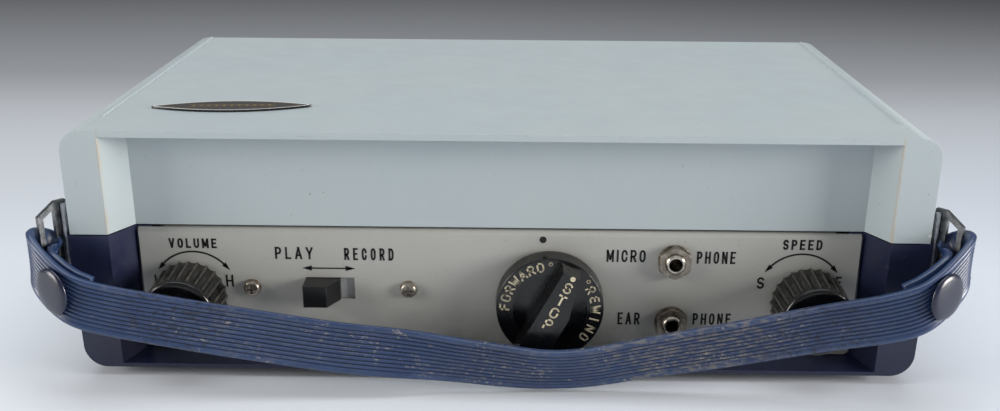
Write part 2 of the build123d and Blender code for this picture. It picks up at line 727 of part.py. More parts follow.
with BuildPart() as jack_nuts:
    for z in JACK_ZS:
        with BuildSketch(facing_front(PANEL_FACE - 0.5)):
            with Locations((JACK_X, z)):
                RegularPolygon(radius=4.0, side_count=6, major_radius=False, rotation=30)
        extrude(amount=2.0)
    # turned chamfer that takes the corners off the front
    with BuildSketch(facing_front(PANEL_FACE - 0.5)):
        with Locations(*[(JACK_X, z) for z in JACK_ZS]):
            Circle(5.1)
    extrude(amount=2.0, taper=22, mode=Mode.INTERSECT)
    for z in JACK_ZS:
        bore_y(JACK_X, z, JACK_BUSH + 0.05, PANEL_FACE, PANEL_FACE - 4)
save(jack_nuts.part, "jack_nuts")


def disc_z(x, y, radius, z_low, height, mode=Mode.ADD):
    """Add or cut a vertical cylinder in the part being built."""
    with BuildSketch(Plane.XY.offset(z_low)) as disc:
        with Locations((x, y)):
            Circle(radius)
    extrude(disc.sketch, amount=height, mode=mode)


def block(x, y, z_low, width, depth, height, mode=Mode.ADD):
    """Add or cut an upright block, given by the centre of its base."""
    with BuildSketch(Plane.XY.offset(z_low)) as base:
        with Locations((x, y)):
            Rectangle(width, depth)
    extrude(base.sketch, amount=height, mode=mode)


# ---------------------------------------------------------------- deck
DECK_FRONT = RECESS + WALL + 0.4
DECK_BACK = BACK - WALL - 0.4
BUSH_RADIUS = 4.5
SPINDLE = 2.5
PAD_PIVOT = (16.0, FRONT + 17.8)
ERASE_PIVOT = (-30.0, FRONT + 17.8)
ARM_Z = DECK_TOP + 6.5
ARM_STUD = 1.2
ARM_BOSS = 2.6

with BuildPart() as deck_plate:
    block(0, (DECK_FRONT + DECK_BACK) / 2, DECK_Z, 211.0, DECK_BACK - DECK_FRONT, DECK_THICK)
    fillet(edges().filter_by(Axis.Z), radius=3.0)
    for side in (-1, 1):
        disc_z(side * REEL_X, REEL_Y, BUSH_RADIUS, DECK_Z, DECK_THICK, Mode.SUBTRACT)
    # slot that the motor shaft swings in
    with BuildSketch(Plane.XY.offset(DECK_Z)):
        with Locations((0, MOTOR_Y)):
            SlotOverall(11.0, 6.0)
    extrude(amount=DECK_THICK, mode=Mode.SUBTRACT)
    for x, y in DECK_POSTS:
        disc_z(x, y, 1.6, DECK_Z, DECK_THICK, Mode.SUBTRACT)
    # studs for the two swinging arms, and a wide foot under each
    for x, y in (PAD_PIVOT, ERASE_PIVOT):
        disc_z(x, y, ARM_BOSS, DECK_TOP - 0.5, ARM_Z - DECK_TOP + 0.3)
        disc_z(x, y, ARM_STUD, ARM_Z - 0.5, 7.5)
save(deck_plate.part, "deck_plate")

with BuildPart() as deck_screws:
    for x, y in DECK_POSTS:
        disc_z(x, y, 1.2, DECK_Z - 8.0, DECK_THICK + 8.0)
        with BuildSketch(Plane.XY.offset(DECK_TOP)):
            with Locations((x, y)):
                Circle(2.6)
        extrude(amount=1.1, taper=12)
        with BuildSketch(Plane.XY.offset(DECK_TOP + 1.1)):
            with Locations((x, y)):
                Rectangle(5.6, 0.7)
        extrude(amount=-0.6, mode=Mode.SUBTRACT)
save(deck_screws.part, "deck_screws")

with BuildPart() as spindle_bushes:
    for side in (-1, 1):
        disc_z(side * REEL_X, REEL_Y, BUSH_RADIUS, DECK_Z - 6.0, DECK_THICK + 7.0)
        disc_z(side * REEL_X, REEL_Y, BUSH_RADIUS + 2.0, DECK_TOP, 0.8)
        disc_z(side * REEL_X, REEL_Y, SPINDLE + RUNNING, DECK_Z - 7.0, 10.0, Mode.SUBTRACT)
save(spindle_bushes.part, "spindle_bushes")

# ---------------------------------------------------------------- reels
HUB_RADIUS = 11.0
REEL_BORE = 4.3
SPINDLE_TOP = REEL_Z + 2 * FLANGE + REEL_GAP + 4.5


def platter(x):
    """Turntable with a rim for the drive roller and a three-vane spindle."""
    with BuildPart() as disc:
        disc_z(x, REEL_Y, PLATTER_RADIUS, PLATTER_Z, PLATTER_THICK)
        chamfer(edges().filter_by(GeomType.CIRCLE), length=0.4)
        disc_z(x, REEL_Y, 30.0, PLATTER_Z + PLATTER_THICK - 1.0, 2.0, Mode.SUBTRACT)
        disc_z(x, REEL_Y, 12.5, PLATTER_Z + 1.0, REEL_Z - PLATTER_Z - 1.0)
        disc_z(x, REEL_Y, SPINDLE, DECK_Z - 5.0, PLATTER_Z - DECK_Z + 6.0)
        disc_z(x, REEL_Y, 2.8, REEL_Z - 0.5, SPINDLE_TOP - REEL_Z + 0.5)
        with BuildSketch(Plane.XY.offset(REEL_Z - 0.5)):
            with Locations((x, REEL_Y)):
                with PolarLocations(2.6, 3, start_angle=90):
                    Rectangle(2.6, 1.1)
        extrude(amount=SPINDLE_TOP - REEL_Z - 0.5)
        chamfer(faces().sort_by(Axis.Z)[-1].edges(), length=0.8)
    return disc.part


def reel(x):
    """Tape reel: two spoked flanges on a hub with a keyed bore."""
    top = REEL_Z + FLANGE + REEL_GAP
    with BuildPart() as spool:
        disc_z(x, REEL_Y, REEL_RADIUS, REEL_Z, FLANGE)
        disc_z(x, REEL_Y, REEL_RADIUS, top, FLANGE)
        disc_z(x, REEL_Y, HUB_RADIUS, REEL_Z, 2 * FLANGE + REEL_GAP)
        # three windows between the spokes of each flange
        with BuildSketch(Plane.XY.offset(REEL_Z)):
            with Locations((x, REEL_Y)):
                Circle(REEL_RADIUS - 5.0)
                Circle(HUB_RADIUS + 4.0, mode=Mode.SUBTRACT)
                with PolarLocations(REEL_RADIUS / 2, 3, start_angle=30):
                    Rectangle(REEL_RADIUS + 6.0, 17.0, mode=Mode.SUBTRACT)
            fillet(vertices(), radius=2.0)
        extrude(amount=FLANGE, mode=Mode.SUBTRACT)
        with BuildSketch(Plane.XY.offset(top)):
            with Locations((x, REEL_Y)):
                Circle(REEL_RADIUS - 5.0)
                Circle(HUB_RADIUS + 4.0, mode=Mode.SUBTRACT)
                with PolarLocations(REEL_RADIUS / 2, 3, start_angle=30):
                    Rectangle(REEL_RADIUS + 6.0, 17.0, mode=Mode.SUBTRACT)
            fillet(vertices(), radius=2.0)
        extrude(amount=FLANGE, mode=Mode.SUBTRACT)
        with BuildSketch(Plane.XY.offset(REEL_Z)):
            with Locations((x, REEL_Y)):
                Circle(REEL_BORE)
        extrude(amount=2 * FLANGE + REEL_GAP, mode=Mode.SUBTRACT)
    return spool.part


def tape_pack(x, radius):
    """Wound tape between the flanges, one tape width high."""
    with BuildPart() as pack:
        disc_z(x, REEL_Y, radius, TAPE_Z - TAPE_WIDTH / 2, TAPE_WIDTH)
        disc_z(x, REEL_Y, HUB_RADIUS, TAPE_Z - TAPE_WIDTH, 2 * TAPE_WIDTH, Mode.SUBTRACT)
    return pack.part


for side, name, pack_radius in (
    (-1, "supply", SUPPLY_PACK_RADIUS),
    (1, "takeup", TAKEUP_PACK_RADIUS),
):
    save(platter(side * REEL_X), f"{name}_platter")
    save(reel(side * REEL_X), f"{name}_reel")
    save(tape_pack(side * REEL_X, pack_radius), f"{name}_tape_pack")

# ---------------------------------------------------------------- tape path
TAPE_THICK = 0.12
with BuildPart() as tape_guides:
    for side in (-1, 1):
        disc_z(side * GUIDE_X, GUIDE_Y, GUIDE_RADIUS, DECK_TOP, TAPE_Z + TAPE_WIDTH / 2 + 2.5 - DECK_TOP)
        for z in (TAPE_Z - TAPE_WIDTH / 2 - 1.3, TAPE_Z + TAPE_WIDTH / 2 + 0.1):
            disc_z(side * GUIDE_X, GUIDE_Y, GUIDE_RADIUS + 1.2, z, 1.2)
save(tape_guides.part, "tape_guides")

with BuildPart() as magnetic_tape:
    with BuildSketch(Plane.XY.offset(TAPE_Z - TAPE_WIDTH / 2)):
        with BuildLine() as tape_line:
            FilletPolyline(
                (-REEL_X - SUPPLY_PACK_RADIUS - 0.6, REEL_Y - 6.0),
                (-GUIDE_X - GUIDE_RADIUS - 0.7, GUIDE_Y - GUIDE_RADIUS - 0.4),
                (0, HEAD_FACE - 0.5),
                (GUIDE_X + GUIDE_RADIUS + 1.0, GUIDE_Y - GUIDE_RADIUS - 0.4),
                (REEL_X + TAKEUP_PACK_RADIUS + 0.6, REEL_Y - 6.0),
                radius=(3.2, 12.0, 3.2),
            )
        trace(line_width=TAPE_THICK)
    extrude(amount=TAPE_WIDTH)
save(magnetic_tape.part, "magnetic_tape")

HEAD_HEIGHT = 15.0
with BuildPart() as record_head:
    # can with a curved face, on a bracket with two ears
    with BuildSketch(Plane.XY.offset(DECK_TOP + 2.0)):
        with BuildLine():
            ThreePointArc((-6.5, HEAD_FACE + 2.0), (0, HEAD_FACE), (6.5, HEAD_FACE + 2.0))
            Polyline(
                (6.5, HEAD_FACE + 2.0),
                (6.5, HEAD_FACE + 12.0),
                (-6.5, HEAD_FACE + 12.0),
                (-6.5, HEAD_FACE + 2.0),
            )
        make_face()
    extrude(amount=HEAD_HEIGHT)
    block(0, HEAD_FACE + 7.5, DECK_TOP, 26.0, 9.0, 2.0)
    for side in (-1, 1):
        disc_z(side * 10.0, HEAD_FACE + 7.5, 1.3, DECK_TOP, 2.0, Mode.SUBTRACT)
save(record_head.part, "record_head")

with BuildPart() as pressure_arm:
    px, py = PAD_PIVOT
    disc_z(px, py, ARM_BOSS, ARM_Z, 6.0)
    block(px - 8.0, py - 0.8, ARM_Z + 0.5, 17.0, 1.6, 5.0)
    block(0.5, py + 0.8, ARM_Z + 0.5, 5.0, 2.6, 5.0)
    disc_z(px, py, ARM_STUD + RUNNING, ARM_Z - 1, 8.0, Mode.SUBTRACT)
save(pressure_arm.part, "pressure_arm")

with BuildPart() as felt_pad:
    pad_back = PAD_PIVOT[1] + 2.1
    block(0.5, (pad_back + HEAD_FACE - 0.95) / 2, ARM_Z + 0.8, 4.4, HEAD_FACE - 0.95 - pad_back, 4.4)
save(felt_pad.part, "felt_pad")

with BuildPart() as erase_arm:
    ex, ey = ERASE_PIVOT
    disc_z(ex, ey, ARM_BOSS, ARM_Z, 6.0)
    block(ex + 7.5, ey - 0.6, ARM_Z + 0.5, 16.0, 1.6, 5.0)
    block(ex + 14.0, ey + 0.9, ARM_Z + 0.5, 4.6, 2.6, 5.0)
    disc_z(ex, ey, ARM_STUD + RUNNING, ARM_Z - 1, 8.0, Mode.SUBTRACT)
save(erase_arm.part, "erase_arm")

with BuildPart() as erase_magnet:
    block(ERASE_PIVOT[0] + 14.0, ERASE_PIVOT[1] + 3.0, ARM_Z + 0.7, 3.6, 1.6, 4.6)
save(erase_magnet.part, "erase_magnet")

# ---------------------------------------------------------------- motor on its swinging plate
MOTOR_RADIUS = 12.0
ROLLER_RADIUS = 5.3
MOTOR_SHAFT = 1.0
lever = Plane(
    origin=(0, PIVOT_Y, 0),
    x_dir=(cos(radians(SWING)), sin(radians(SWING)), 0),
    z_dir=(0, 0, 1),
)
motor_spot = (0, MOTOR_Y - PIVOT_Y)
fork_spot = (FUNCTION_X, FORK_Y - PIVOT_Y)

with BuildPart() as motor_plate:
    with BuildSketch(lever.offset(MOTOR_PLATE_Z)):
        with BuildLine():
            Polyline(
                (-7.0, 6.0),
                (7.0, 6.0),
                (14.0, motor_spot[1] + 10.0),
                (14.0, motor_spot[1] - 12.0),
                (fork_spot[0] + 6.0, fork_spot[1] + 20.0),
                (fork_spot[0] + 6.0, fork_spot[1] - 0.8),
                (fork_spot[0] - 6.0, fork_spot[1] - 0.8),
                (fork_spot[0] - 8.0, fork_spot[1] + 20.0),
                (-14.0, motor_spot[1] - 12.0),
                (-14.0, motor_spot[1] + 10.0),
                close=True,
            )
        make_face()
        fillet(vertices().group_by(Axis.Y)[-1], radius=5.0)
        Circle(1.5 + RUNNING, mode=Mode.SUBTRACT)
        with Locations(motor_spot):
            Circle(3.4, mode=Mode.SUBTRACT)
    extrude(amount=1.2)
    # fork: a tab bent down at the front, slotted for the cam's crank pin
    with BuildSketch(lever.offset(MOTOR_PLATE_Z - 8.0)):
        with Locations(fork_spot):
            Rectangle(12.0, 1.6)
    extrude(amount=8.4)
    with BuildSketch(lever.offset(MOTOR_PLATE_Z - 9.0)):
        with Locations(fork_spot):
            Rectangle(2 * CRANK_PIN + 0.9, 3.0)
    extrude(amount=7.5, mode=Mode.SUBTRACT)
save(motor_plate.part, "motor_plate")

with BuildPart() as drive_motor:
    with BuildSketch(lever.offset(MOTOR_PLATE_Z - 23.0)):
        with Locations(motor_spot):
            Circle(MOTOR_RADIUS)
    extrude(amount=23.0)
    fillet(edges().filter_by(GeomType.CIRCLE), radius=1.0)
    with BuildSketch(lever.offset(MOTOR_PLATE_Z - 0.5)):
        with Locations(motor_spot):
            Circle(3.3)
    extrude(amount=3.0)
    with BuildSketch(lever.offset(MOTOR_PLATE_Z - 12.0)):
        with Locations(motor_spot):
            Circle(MOTOR_SHAFT + RUNNING)
    extrude(amount=15.0, mode=Mode.SUBTRACT)
save(drive_motor.part, "drive_motor")

with BuildPart() as drive_roller:
    with BuildSketch(lever.offset(MOTOR_PLATE_Z - 11.0)):
        with Locations(motor_spot):
            Circle(MOTOR_SHAFT)
    extrude(amount=PLATTER_Z + PLATTER_THICK - 0.6 - MOTOR_PLATE_Z + 11.0)
    with BuildSketch(lever.offset(PLATTER_Z)):
        with Locations(motor_spot):
            Circle(ROLLER_RADIUS)
    extrude(amount=PLATTER_THICK - 0.8)
    chamfer(faces().filter_by(GeomType.PLANE).edges().filter_by(lambda e: e.radius > 4), length=0.3)
save(drive_roller.part, "drive_roller")

# ---------------------------------------------------------------- electronics and battery
BOARD_X = 59.5
BOARD_Y = FRONT + 46.0
BOARD_Z = 10.0
BOARD_THICK = 1.6
BOARD_TOP = BOARD_Z + BOARD_THICK

with BuildPart() as circuit_board:
    block(BOARD_X, BOARD_Y, BOARD_Z, 72.0, 32.0, BOARD_THICK)
    for sx in (-1, 1):
        for sy in (-1, 1):
            disc_z(BOARD_X + sx * 33.0, BOARD_Y + sy * 12.5, 2.4, FLOOR_Z, BOARD_Z - FLOOR_Z)
save(circuit_board.part, "circuit_board")

with BuildPart() as transistors:
    for column in range(3):
        for row in range(2):
            disc_z(BOARD_X - 24.0 + 10.0 * column, BOARD_Y - 6.0 + 11.0 * row, 2.6, BOARD_TOP, 7.5)
    fillet(faces().group_by(Axis.Z)[-1].edges(), radius=0.7)
save(transistors.part, "transistors")

with BuildPart() as capacitors:
    for spot, (radius, height) in enumerate([(4.0, 12.0), (3.2, 10.0), (4.0, 12.0), (3.2, 10.0)]):
        disc_z(BOARD_X + 5.0 + 8.6 * spot, BOARD_Y + 10.5, radius, BOARD_TOP, height)
    fillet(faces().filter_by(GeomType.PLANE).filter_by(lambda f: f.center().Z > BOARD_TOP + 1).edges(), 0.6)
save(capacitors.part, "capacitors")

with BuildPart() as transformers:
    for spot in range(2):
        x = BOARD_X + 9.0 + 19.0 * spot
        block(x, BOARD_Y - 5.0, BOARD_TOP, 14.0, 4.6, 12.0)
        block(x, BOARD_Y - 5.0, BOARD_TOP + 1.5, 9.5, 11.0, 8.5)
save(transformers.part, "transformers")

CELL_RADIUS = 7.0
CELL_LENGTH = 48.5
CELL_PITCH = 14.2
CELL_Z = FLOOR_Z + 0.3 + CELL_RADIUS
BOX_WALL = 1.2
BOX_SIZE = (59.0, 60.0)
with BuildPart() as battery_box:
    block(BATTERY_X, BATTERY_Y, FLOOR_Z, *BOX_SIZE, 16.6)
    block(BATTERY_X, BATTERY_Y, FLOOR_Z - 1, BOX_SIZE[0] - 2.4, BOX_SIZE[1] - 2.4, 16.4, Mode.SUBTRACT)
save(battery_box.part, "battery_box")


def along_x(x_start, length, y, z, radius):
    """Add a cylinder that lies along X to the part being built."""
    with BuildSketch(Plane.YZ.offset(x_start)) as disc:
        with Locations((y, z)):
            Circle(radius)
    extrude(disc.sketch, amount=length)


with BuildPart() as battery_cells:
    for row in range(4):
        y = BATTERY_Y + CELL_PITCH * (row - 1.5)
        turned = -1 if row % 2 else 1
        along_x(BATTERY_X - CELL_LENGTH / 2, CELL_LENGTH, y, CELL_Z, CELL_RADIUS)
        along_x(BATTERY_X + turned * CELL_LENGTH / 2, turned * 1.6, y, CELL_Z, 2.7)
save(battery_cells.part, "battery_cells")

with BuildPart() as battery_contacts:
    for row in range(4):
        y = BATTERY_Y + CELL_PITCH * (row - 1.5)
        for side in (-1, 1):
            x = BATTERY_X + side * (BOX_SIZE[0] / 2 - BOX_WALL - 0.3)
            block(x, y, CELL_Z - 5.0, 0.5, 9.0, 10.0)
save(battery_contacts.part, "battery_contacts")

with BuildPart() as speaker_frame:
    disc_z(SPEAKER_X, SPEAKER_Y, SPEAKER_RADIUS, FLOOR_Z, 2.2)
    with BuildSketch(Plane.XY.offset(FLOOR_Z + 2.2)):
        with Locations((SPEAKER_X, SPEAKER_Y)):
            Circle(SPEAKER_RADIUS - 3.0)
    with BuildSketch(Plane.XY.offset(FLOOR_Z + 11.0)):
        with Locations((SPEAKER_X, SPEAKER_Y)):
            Circle(12.0)
    loft()
    disc_z(SPEAKER_X, SPEAKER_Y, 13.5, FLOOR_Z + 10.5, 9.0)
    with BuildSketch(Plane.XY.offset(FLOOR_Z)):
        with Locations((SPEAKER_X, SPEAKER_Y)):
            Circle(SPEAKER_RADIUS - 4.0)
    with BuildSketch(Plane.XY.offset(FLOOR_Z + 9.5)):
        with Locations((SPEAKER_X, SPEAKER_Y)):
            Circle(8.0)
    loft(mode=Mode.SUBTRACT)
save(speaker_frame.part, "speaker_frame")

with BuildPart() as speaker_cone:
    with BuildSketch(Plane.XY.offset(FLOOR_Z + 0.3)):
        with Locations((SPEAKER_X, SPEAKER_Y)):
            Circle(SPEAKER_RADIUS - 5.0)
    with BuildSketch(Plane.XY.offset(FLOOR_Z + 8.9)):
        with Locations((SPEAKER_X, SPEAKER_Y)):
            Circle(7.6)
    loft()
    with BuildSketch(Plane.XY.offset(FLOOR_Z - 0.4)):
        with Locations((SPEAKER_X, SPEAKER_Y)):
            Circle(SPEAKER_RADIUS - 5.2)
    with BuildSketch(Plane.XY.offset(FLOOR_Z + 8.2)):
        with Locations((SPEAKER_X, SPEAKER_Y)):
            Circle(7.2)
    loft(mode=Mode.SUBTRACT)
save(speaker_cone.part, "speaker_cone")

# ---------------------------------------------------------------- strap brackets and rings
BRACKET_THICK = 0.8
LUG = 0.75
BARREL_Z = (RING_Z[0] + LUG + 0.1, RING_Z[1] - LUG - 0.1)
BRACKET_Z = (24.2, 37.5)


def side_x(z):
    """Half width of the base at a height; its sides lean out a little."""
    lean = (BASE_WIDTH - BASE_WIDTH_LOW) / 2 / (SPLIT_Z - FOOT_HEIGHT)
    return BASE_WIDTH_LOW / 2 + (z - FOOT_HEIGHT) * lean


with BuildPart() as strap_brackets:
    for side in (-1, 1):
        with BuildSketch(facing_front(RING_Y + 16.0)) as leaf:
            with BuildLine():
                Polyline(
                    (side * side_x(BRACKET_Z[0]), BRACKET_Z[0]),
                    (side * (side_x(BRACKET_Z[0]) + BRACKET_THICK), BRACKET_Z[0]),
                    (side * (side_x(BRACKET_Z[1]) + BRACKET_THICK), BRACKET_Z[1]),
                    (side * side_x(BRACKET_Z[1]), BRACKET_Z[1]),
                    close=True,
                )
            make_face()
        extrude(leaf.sketch, amount=16.0)
        disc_z(side * RING_X, RING_Y, BARREL, BARREL_Z[0], BARREL_Z[1] - BARREL_Z[0])
        disc_z(side * RING_X, RING_Y, RING_PIN + RUNNING, BARREL_Z[0], 30.0, Mode.SUBTRACT)
    for y, z in RIVETS:
        with BuildSketch(Plane.YZ) as hole:
            with Locations((y, z)):
                Circle(RIVET_SHANK)
        extrude(hole.sketch, amount=BASE_WIDTH, both=True, mode=Mode.SUBTRACT)
save(strap_brackets.part, "strap_brackets")

with BuildPart() as bracket_rivets:
    for side in (-1, 1):
        for y, z in RIVETS:
            outside = side_x(z) + BRACKET_THICK + 0.1
            with BuildSketch(Plane.YZ.offset(side * (outside - 4.2))) as shank:
                with Locations((y, z)):
                    Circle(RIVET_SHANK)
            extrude(shank.sketch, amount=side * 4.2)
            with BuildSketch(Plane.YZ.offset(side * outside)) as head:
                with Locations((y, z)):
                    Circle(1.9)
            extrude(head.sketch, amount=side * 0.8)
    fillet(faces().filter_by(GeomType.PLANE).filter_by(lambda f: f.area > 10).edges(), radius=0.35)
save(bracket_rivets.part, "bracket_rivets")

for side, name in ((-1, "strap_ring_left"), (1, "strap_ring_right")):
    out = side * cos(radians(RING_ANGLE))
    forward = -sin(radians(RING_ANGLE))
    ring_plane = Plane(
        origin=(side * RING_X, RING_Y, 0), x_dir=(out, forward, 0), z_dir=(forward, -out, 0)
    )
    low, high = RING_Z
    with BuildPart() as ring:
        with BuildSketch(ring_plane) as outline:
            with BuildLine():
                Polyline(
                    (-0.6, low),
                    (2.4, low),
                    (7.4, low + 2.1),
                    (7.4, high - 3.2),
                    (2.4, high),
                    (-0.6, high),
                    close=True,
                )
            make_face()
            with BuildLine():
                Polyline(
                    (2.95, low + 1.3),
                    (6.0, low + 2.5),
                    (6.0, high - 3.9),
                    (2.95, high - 2.0),
                    close=True,
                )
            make_face(mode=Mode.SUBTRACT)
            with Locations((0.4, (low + high) / 2)):
                Rectangle(2.0, high - low - 2 * LUG, mode=Mode.SUBTRACT)
        extrude(outline.sketch, amount=0.6, both=True)
        disc_z(side * RING_X, RING_Y, RING_PIN, low, high - low)
    save(ring.part, name)

# ---------------------------------------------------------------- carrying strap
# Right half in plan, distance in front of or behind the case front; the left half mirrors it.
# From the tail, round the ring, and back along the front.
STRAP_HOOK = [
    (102.4, -9.3), (106.4, -8.5), (109.9, -6.7), (112.4, -3.9), (113.7, -0.2), (115.7, 1.9),
    (118.0, 0.2), (118.3, -3.6), (116.0, -7.6), (111.3, -10.6), (105.5, -12.0), (98.0, -11.8),
]
STRAP_SPAN = [(80, -10.6), (60, -9.9), (40, -9.0), (20, -8.7), (0, -8.9), (-20, -9.3), (-40, -9.9)]
STRAP_END = [(-60, -10.4), (-80, -10.9)]
# Height of the middle of the strap along X: it hangs across the controls.
STRAP_HANG = [
    (-122, 34.6), (-118, 33.0), (-112, 29.8), (-100, 24.6), (-80, 19.5), (-60, 15.8), (-40, 12.2),
    (-20, 9.6), (0, 7.4), (12, 6.9), (24, 7.3), (40, 9.9), (60, 14.1), (80, 19.2), (100, 24.6),
    (112, 29.8), (118, 33.0), (122, 34.6),
]
STRAP_HALF = 6.45

plan_points = STRAP_HOOK + STRAP_SPAN + STRAP_END + [(-x, y) for x, y in reversed(STRAP_HOOK)]
centre_line = Spline(*[(x, FRONT + y) for x, y in plan_points])
stations = [step / 120 for step in range(121)]


def strap_edge(side):
    """Points along one face of the strap, half its thickness off the centre line in plan."""
    across = [(centre_line % t).rotate(Axis.Z, 90) * (side * STRAP_THICK / 2) for t in stations]
    return [centre_line @ t + shift for t, shift in zip(stations, across)]


with BuildPart() as carrying_strap:
    with BuildSketch(Plane.XY) as plan:
        with BuildLine():
            Polyline(*strap_edge(1), *reversed(strap_edge(-1)), close=True)
        make_face()
    extrude(plan.sketch, amount=50.0)
    with BuildSketch(facing_front(FRONT + 10.0)) as front_view:
        with BuildLine():
            upper = Spline(*[(x, z + STRAP_HALF) for x, z in STRAP_HANG])
            lower = Spline(*[(x, z - STRAP_HALF) for x, z in STRAP_HANG])
            Line(upper @ 0, lower @ 0)
            Line(upper @ 1, lower @ 1)
        make_face()
    extrude(front_view.sketch, amount=40.0, mode=Mode.INTERSECT)
save(carrying_strap.part, "carrying_strap")

SNAP = (112.0, FRONT - 10.2)
SNAP_Z = 28.8
SNAP_TURN = 28.0


def snap_plane(side, inward, along=0.0):
    """Plane at a snap fastener, normal pointing out of the strap's outer face."""
    out = Vector(side * sin(radians(SNAP_TURN)), -cos(radians(SNAP_TURN)), 0)
    sideways = Vector(-out.Y, out.X, 0)
    origin = Vector(side * SNAP[0], SNAP[1], SNAP_Z) - out * inward + sideways * (side * along)
    return Plane(origin=origin, x_dir=sideways, z_dir=out)


with BuildPart() as snap_caps:
    for side in (-1, 1):
        with BuildSketch(snap_plane(side, -STRAP_THICK / 2 - 0.15)) as cap:
            Circle(6.0)
        extrude(cap.sketch, amount=1.6)
    fillet(faces().filter_by(GeomType.PLANE).filter_by(lambda f: f.center().Y < SNAP[1] - 1.9).edges(), 1.2)
save(snap_caps.part, "snap_caps")

with BuildPart() as snap_sockets:
    for side in (-1, 1):
        with BuildSketch(snap_plane(side, STRAP_THICK / 2 + 0.6, 0.8)) as socket:
            Circle(3.2)
        extrude(socket.sketch, amount=-0.9)
save(snap_sockets.part, "snap_sockets")
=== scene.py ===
"""Looks for a portable reel-to-reel tape recorder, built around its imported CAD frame.

Shapes are worked out in millimetres in the row frame (X right, Y to the back, Z up) and turned
into metres where a mesh is made.
"""

import math

import bpy
from mathutils import Matrix, Vector


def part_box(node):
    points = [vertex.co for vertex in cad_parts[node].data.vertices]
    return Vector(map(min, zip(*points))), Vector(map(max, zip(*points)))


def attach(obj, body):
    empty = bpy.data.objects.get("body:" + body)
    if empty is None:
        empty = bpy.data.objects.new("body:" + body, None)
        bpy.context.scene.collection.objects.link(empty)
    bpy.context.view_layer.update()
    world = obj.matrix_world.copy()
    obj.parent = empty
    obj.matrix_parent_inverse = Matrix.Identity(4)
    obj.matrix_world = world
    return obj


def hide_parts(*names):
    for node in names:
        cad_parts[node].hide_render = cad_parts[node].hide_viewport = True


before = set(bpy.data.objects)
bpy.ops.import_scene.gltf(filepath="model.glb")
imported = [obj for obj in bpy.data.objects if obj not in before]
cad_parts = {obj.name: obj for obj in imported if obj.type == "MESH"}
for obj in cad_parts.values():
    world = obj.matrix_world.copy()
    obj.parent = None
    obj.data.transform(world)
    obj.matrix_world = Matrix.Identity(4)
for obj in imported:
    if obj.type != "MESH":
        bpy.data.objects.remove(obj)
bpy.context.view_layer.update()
MM = 0.001

# ---------------------------------------------------------------- main places and sizes
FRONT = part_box("base_tub")[0][1] / MM
PANEL_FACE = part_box("control_panel")[0][1] / MM
KNOB_X = 81.5                # the small knobs' axes, on both sides of the middle
KNOB_Z = 20.4
FUNCTION = (13.6, 19.7)      # the function knob's axis, as (X, Z)
FUNCTION_TURN = 26.0         # its bar at rest, in degrees clockwise from upright
FLUTES = 24
FLUTE_STEPS = 10             # points round each flute
FLUTE_END = 13.4             # flutes run this far from the panel
INK_LIFT = 0.04              # printing stands this far proud of what it is on
CHEEK_X = 99.4               # where the lid's recess turns from its back wall to its cheek
KNOB_FOOT = 0.9              # gap between the panel and a small knob
SLIDE_PLATE_DEEP = 1.0       # the slide's grey plate lies this far behind the panel's face
SOFT_EDGE_TURN = math.radians(28)    # edges that turn less than this are not softened


def linear(red, green, blue):
    """Scene-linear colour from 8-bit sRGB values."""
    def channel(value):
        value /= 255
        return value / 12.92 if value <= 0.04045 else ((value + 0.055) / 1.055) ** 2.4
    return (channel(red), channel(green), channel(blue), 1.0)


